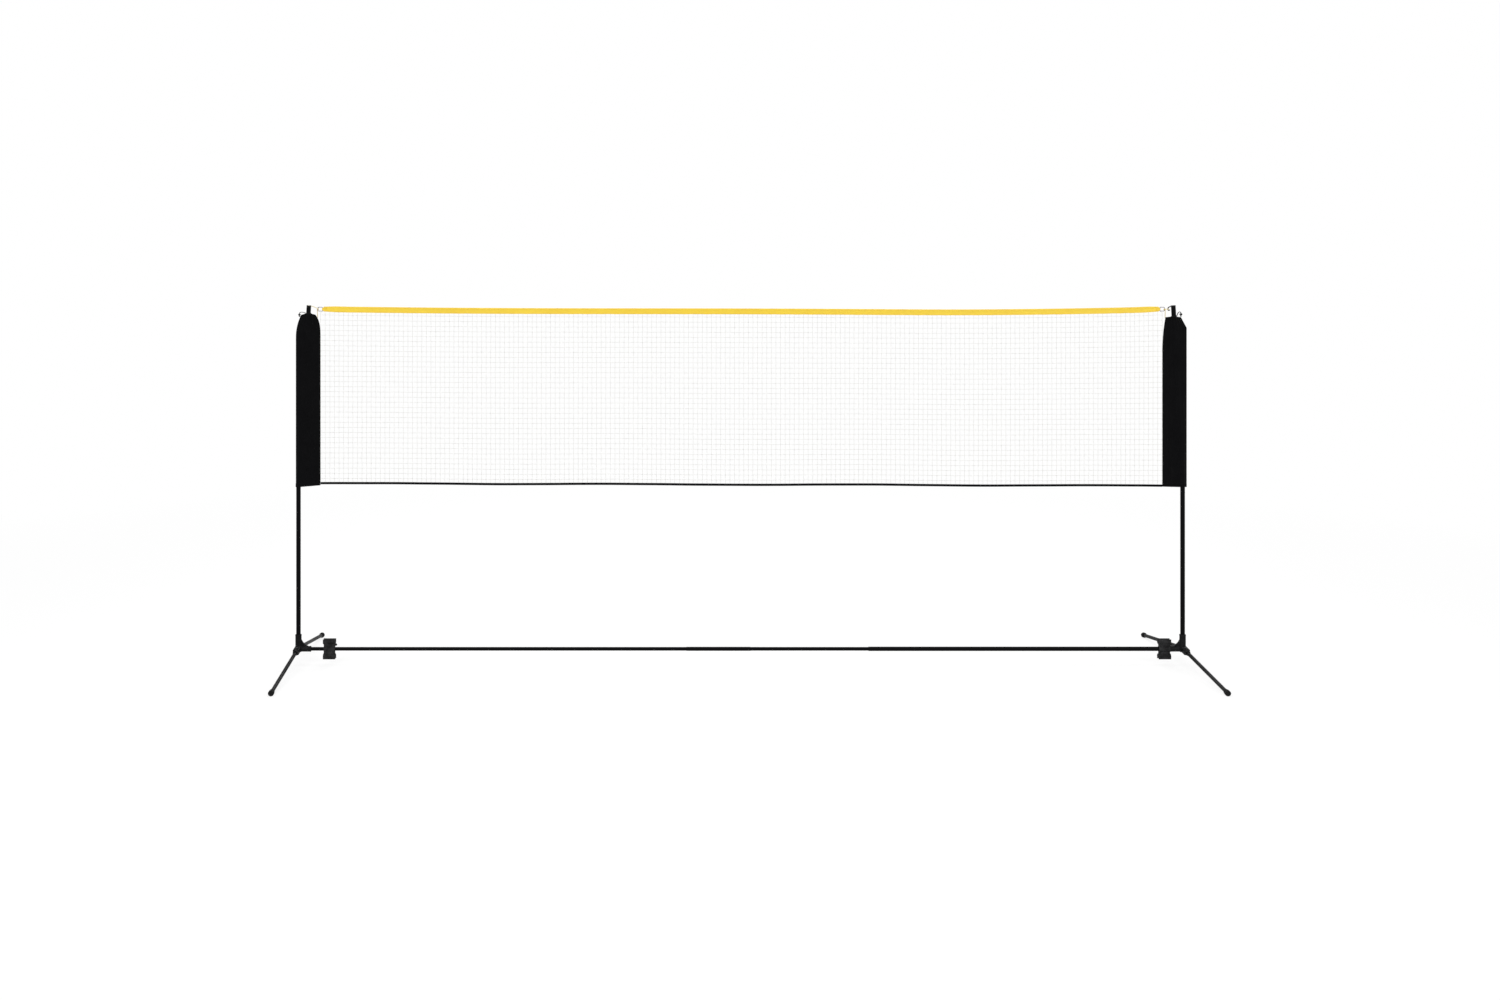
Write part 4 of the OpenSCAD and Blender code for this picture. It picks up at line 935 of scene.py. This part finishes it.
yellow_tape, tree, shader, place = material("golden yellow tape", (0.90, 0.64, 0.045), 0.5)
weave = woven(tree, place, "X", "Z", 0.0009)
clouds = noise_on(tree, place, 9, 5, 0.6)
paint(tree, shader, clouds, (0.3, (0.93, 0.635, 0.041)), (0.7, (0.97, 0.695, 0.048)))
relief(tree, shader, (noise_on(tree, place, 55, 3), 0.0004), (weave, 0.00006))

tape_across = 26
tape_steps = 640
pucker_pitch = 0.011
end_pleats = 3.5
rope_fade = 0.006
edge_fade = 0.010
tape = new_grid("top_tape_cloth", tape_across, tape_steps)
tape_length = tape_to - tape_from


def tape_drift(x):
    """How far the slack tape stands off the net's plane."""
    return 0.0016 * noise.noise(Vector((x * 1.7, 3, 0)))


def tape_section(share, x):
    """A place on the folded tape's section: (y, height over its middle). The rope lies in the fold."""
    half = tape_half(x)
    flat = 2 * half - rope_r
    arc = math.pi * rope_r
    s = share * (2 * flat + arc)
    pucker = (0.0002 * math.sin(2 * math.pi * x / pucker_pitch)
              + 0.0005 * noise.noise(Vector((x * 24, 0, 2))))
    pleats = math.sin(2 * math.pi * end_pleats * share * (2 if share < 0.5 else -2))
    pucker += 0.0007 * (1 - 2 * half / tape_h) / tape_narrowing * pleats
    if s < flat:
        z, face = -half + s, -1
    elif s > flat + arc:
        z, face = -half + (2 * flat + arc - s), 1
    else:
        turn = math.pi - (s - flat) / rope_r
        return rope_r * math.cos(turn), half - rope_r + rope_r * math.sin(turn)
    near_rope = max(0, 1 - (half - rope_r - z) / rope_fade)
    y = face_y + (rope_r - face_y) * near_rope ** 2
    lower = max(0, 1 - (z + half) / edge_fade)
    return face * y + pucker * (0.3 + lower), z + lower * 0.0006 * noise.noise(Vector((x * 30, 7, 0)))


def on_tape(share, walked):
    """A point of the folded tape: round its section, and along it."""
    x = tape_from + tape_length * walked
    y, up = tape_section(share, x)
    return Vector((x, y + tape_drift(x), tape_z(x) + up))


shape_points(tape, on_tape)
merge_seam(tape)
add_modifier(tape, "SOLIDIFY", thickness=cloth_t, offset=0, use_even_offset=False)
smooth(tape, 70)
finish(tape, yellow_tape)
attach(tape, "upper_frame")
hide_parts("top_tape")

# the tape's ends: a tab sewn over each end narrows to the eye and goes round the ring's inner bar
tab_steps = 72
tab_lap = 0.010
tab_y = 0.0025
tab_t = 0.0010
strap_share = 0.36
eye_r = ring_wire_r + clearance + 0.0007
eye_h = 0.0086
for side in inward:
    start = tape_from + tab_lap if side == "left" else tape_to - tab_lap
    reach = abs(eye_x[side] - start)
    tab = new_grid(f"{side}_tape_eye", tab_steps, 12)
    path = []
    for k in range(tab_steps + 1):
        t = k / tab_steps
        s = min(t, 1 - t) / strap_share
        if s < 1:
            path.append((reach * s, math.copysign(tab_y + (eye_r - tab_y) * s, t - 0.5)))
        else:
            turn = math.pi * (t - 0.5) / (1 - 2 * strap_share)
            path.append((reach + eye_r * math.cos(turn), eye_r * math.sin(turn)))

    def on_tab(walked, share, path=path, start=start, towards=-inward[side], reach=reach):
        """A point of the tab: along it round the ring's bar, and up its width."""
        out, y = path[round(walked * tab_steps)]
        narrow = min(1, max(0, out - tab_lap) / (reach - tab_lap))
        x = start + towards * out
        wide = (2 * tape_half(x) - 0.0006) * (1 - narrow) + eye_h * narrow
        return Vector((x, y, tape_z(x) * (1 - narrow) + tape_end_z * narrow + wide * (share - 0.5)))

    shape_points(tab, on_tab)
    add_modifier(tab, "SOLIDIFY", thickness=tab_t, offset=0, use_even_offset=False)
    face_outwards(tab)
    smooth(tab, 50)
    finish(tab, yellow_tape)
    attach(tab, "upper_frame")


yellow_thread, tree, shader, place = material("yellow thread", (0.80, 0.53, 0.06), 0.55)
relief(tree, shader, (noise_on(tree, place, 6000, 1), 0.00003))


def both_faces(x, y, z, proud, ahead):
    """A stitch on each face of a tape: its place, the way it runs and the side it shows."""
    return [(Vector((x, y + face * proud, z)), Vector(ahead), Vector((0, face, 0))) for face in (-1, 1)]


spots = []
# one row runs along the lower edge, and one below the rope
for edge, inwards, proud in ((-1, 0.0035, 0.0016), (1, -0.0068, 0.0017)):
    for k in range(int((tape_length - 0.006) / stitch_pitch)):
        x = tape_from + 0.004 + k * stitch_pitch
        z = tape_z(x) + edge * tape_half(x) + inwards
        spots += both_faces(x, tape_drift(x), z, proud, (1, 0, 0))
# each tab is held by two upright rows
for end, inwards in ((tape_from, 1), (tape_to, -1)):
    for into in (tab_lap - 0.0018, 0.0035):
        x = end + inwards * into
        for k in range(-3, 4):
            z = tape_z(x) + k * (tape_half(x) - 0.0025) / 3.5
            spots += both_faces(x, 0, z, 0.0032, (0, 0, 1))
tape_stitches = stitches("top_tape_stitches", spots, 0.0008, yellow_thread)

# ---- Bottom tape ----
# A black woven polyester tape, 20 mm wide, is folded over the net's foot and stitched. It hangs in slack,
# shallow waves.

left_net_depth = 0.774
right_net_depth = 0.785
hem_h = 0.010
hem_r = 0.0012
net_gap = 0.0003
hem_wave = 0.0015
hem_waves = 3.5
net_edge = {side: inward[side] * (sleeve_forms[side]["inner"] + net_gap - pole_x) for side in inward}


def net_share(x):
    """How far along the net a place is, from 0 at the left to 1 at the right."""
    return (x - net_edge["left"]) / (net_edge["right"] - net_edge["left"])


def hem_z(x):
    """Height of the bottom tape's middle."""
    return (tape_end_z - left_net_depth - net_share(x) * (right_net_depth - left_net_depth)
            + hem_wave * math.sin(2 * math.pi * hem_waves * net_share(x)))


def net_drift(x, down):
    """How far the slack net stands off its plane, more towards its foot."""
    return down * (0.0042 * noise.noise(Vector((x * 1.35, 11 + 0.8 * down, 0)))
                   + 0.0016 * math.sin(2 * math.pi * (x / 0.62 + 0.3 * down)))


black_webbing, tree, shader, place = material("black woven tape", (0.008, 0.008, 0.009), 0.68, specular=0.03)
picks = threads_on(tree, place, "X", 0.0011)
lint = noise_on(tree, place, 900, 4, 0.6)
paint(tree, shader, lint, (0.35, (0.003, 0.003, 0.0035)), (0.75, (0.010, 0.010, 0.011)))
relief(tree, shader, (lint, 0.00008), (picks, 0.00006))

hem = new_grid("bottom_tape_webbing", 18, 620)


def on_hem(share, walked):
    """A point of the folded tape: round its section, and along it."""
    x = net_edge["left"] + (net_edge["right"] - net_edge["left"]) * walked
    flat = hem_h - hem_r
    arc = math.pi * hem_r
    s = share * (2 * flat + arc)
    if s < flat:
        y, up = -hem_r, hem_h / 2 - s
    elif s > flat + arc:
        y, up = hem_r, hem_h / 2 - (2 * flat + arc - s)
    else:
        turn = math.pi + (s - flat) / hem_r
        y, up = hem_r * math.cos(turn), -hem_h / 2 + hem_r + hem_r * math.sin(turn)
    curl = 0.0008 * noise.noise(Vector((x * 9, 5, 0))) * (up / hem_h)
    z = hem_z(x) + up + 0.0006 * noise.noise(Vector((x * 5, 2, 0)))
    return Vector((x, y + net_drift(x, 1) + curl, z))


shape_points(hem, on_hem)
merge_seam(hem)
add_modifier(hem, "SOLIDIFY", thickness=0.0006, offset=0, use_even_offset=False)
smooth(hem, 70)
finish(hem, black_webbing)
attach(hem, "upper_frame")
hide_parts("bottom_tape")

spots = []
for k in range(int((net_edge["right"] - net_edge["left"] - 0.004) / stitch_pitch)):
    x = net_edge["left"] + 0.003 + k * stitch_pitch
    z = hem_z(x) + hem_h / 2 - 0.0025
    spots += both_faces(x, net_drift(x, 1), z, 0.00155, (1, 0, 0))
hem_stitches = stitches("bottom_tape_stitches", spots, 0.0007, black_thread)

# ---- Net ----
# Ivory polyester twine, 1.2 mm thick, knotted in square meshes of 20 mm: 183 across and 34 down. Its head and
# foot are caught in the tapes, and its ends are sewn to the sleeves.

columns = 183
rows = 34
twine_d = 0.0012
ring_clear = 0.0159
head_in_tape = 0.010
foot_in_hem = 0.002
uneven = 0.0011
ivory_twine, tree, shader, place = material("ivory twine", (0.80, 0.795, 0.76), 0.6)
paint(tree, shader, noise_on(tree, place, 60, 4), (0.3, (0.74, 0.73, 0.68)), (0.7, (0.84, 0.84, 0.81)))
relief(tree, shader, (noise_on(tree, place, 2600, 2), 0.0001))

net = new_grid("net_twine", columns, rows)


def on_net(walked, share):
    """A crossing of the net: along it, and up from its foot. The meshes are slightly uneven."""
    x = net_edge["left"] + twine_d / 2 + (net_edge["right"] - net_edge["left"] - twine_d) * walked
    head = tape_z(x) - tape_h / 2 + head_in_tape
    foot = hem_z(x) - foot_in_hem
    z = foot + (head - foot) * share
    inside = min(1, 30 * walked, 30 * (1 - walked)) * min(1, 12 * share, 12 * (1 - share))
    down = 1 - share
    x += inside * uneven * noise.noise(Vector((walked * 211, share * 47, 1)))
    z += inside * uneven * noise.noise(Vector((walked * 211, share * 47, 6)))
    # past the tape's ends the net's head stays below the rings
    if not tape_from < x < tape_to:
        z = min(z, tape_end_z - ring_clear)
    return Vector((x, share * tape_drift(x) + net_drift(x, down), z))


shape_points(net, on_net)
crossings = [v.co.copy() for v in net.data.vertices]
add_modifier(net, "WIREFRAME", thickness=twine_d, use_even_offset=True, use_replace=True, use_boundary=True,
             use_relative_offset=False)
# every crossing has a knot, a little bead with eight faces, turned a little from its neighbours
knot_r = 0.0017
knot_deep = Vector((0, 0.0011, 0))
quarters = ((0, 2), (2, 1), (1, 3), (3, 0))
knot_faces = [(a, b, 4) for a, b in quarters] + [(b, a, 5) for a, b in quarters]
points, polygons = [], []
for spot in crossings:
    first = len(points)
    turn = 0.78 + 1.5 * noise.noise(spot * 90)
    wide = knot_r * Vector((math.cos(turn), 0, math.sin(turn)))
    high = 0.8 * Vector((-wide.z, 0, wide.x))
    points += [spot + wide, spot - wide, spot + high, spot - high, spot - knot_deep, spot + knot_deep]
    polygons += [tuple(first + i for i in face) for face in knot_faces]
net_knots = new_mesh("net_knots", points, polygons)
for piece in (net, net_knots):
    smooth(piece, 180)
    finish(piece, ivory_twine)
    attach(piece, "upper_frame")
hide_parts("net_mesh")

# ---- End ----
# Nothing is left selected.

deselect()
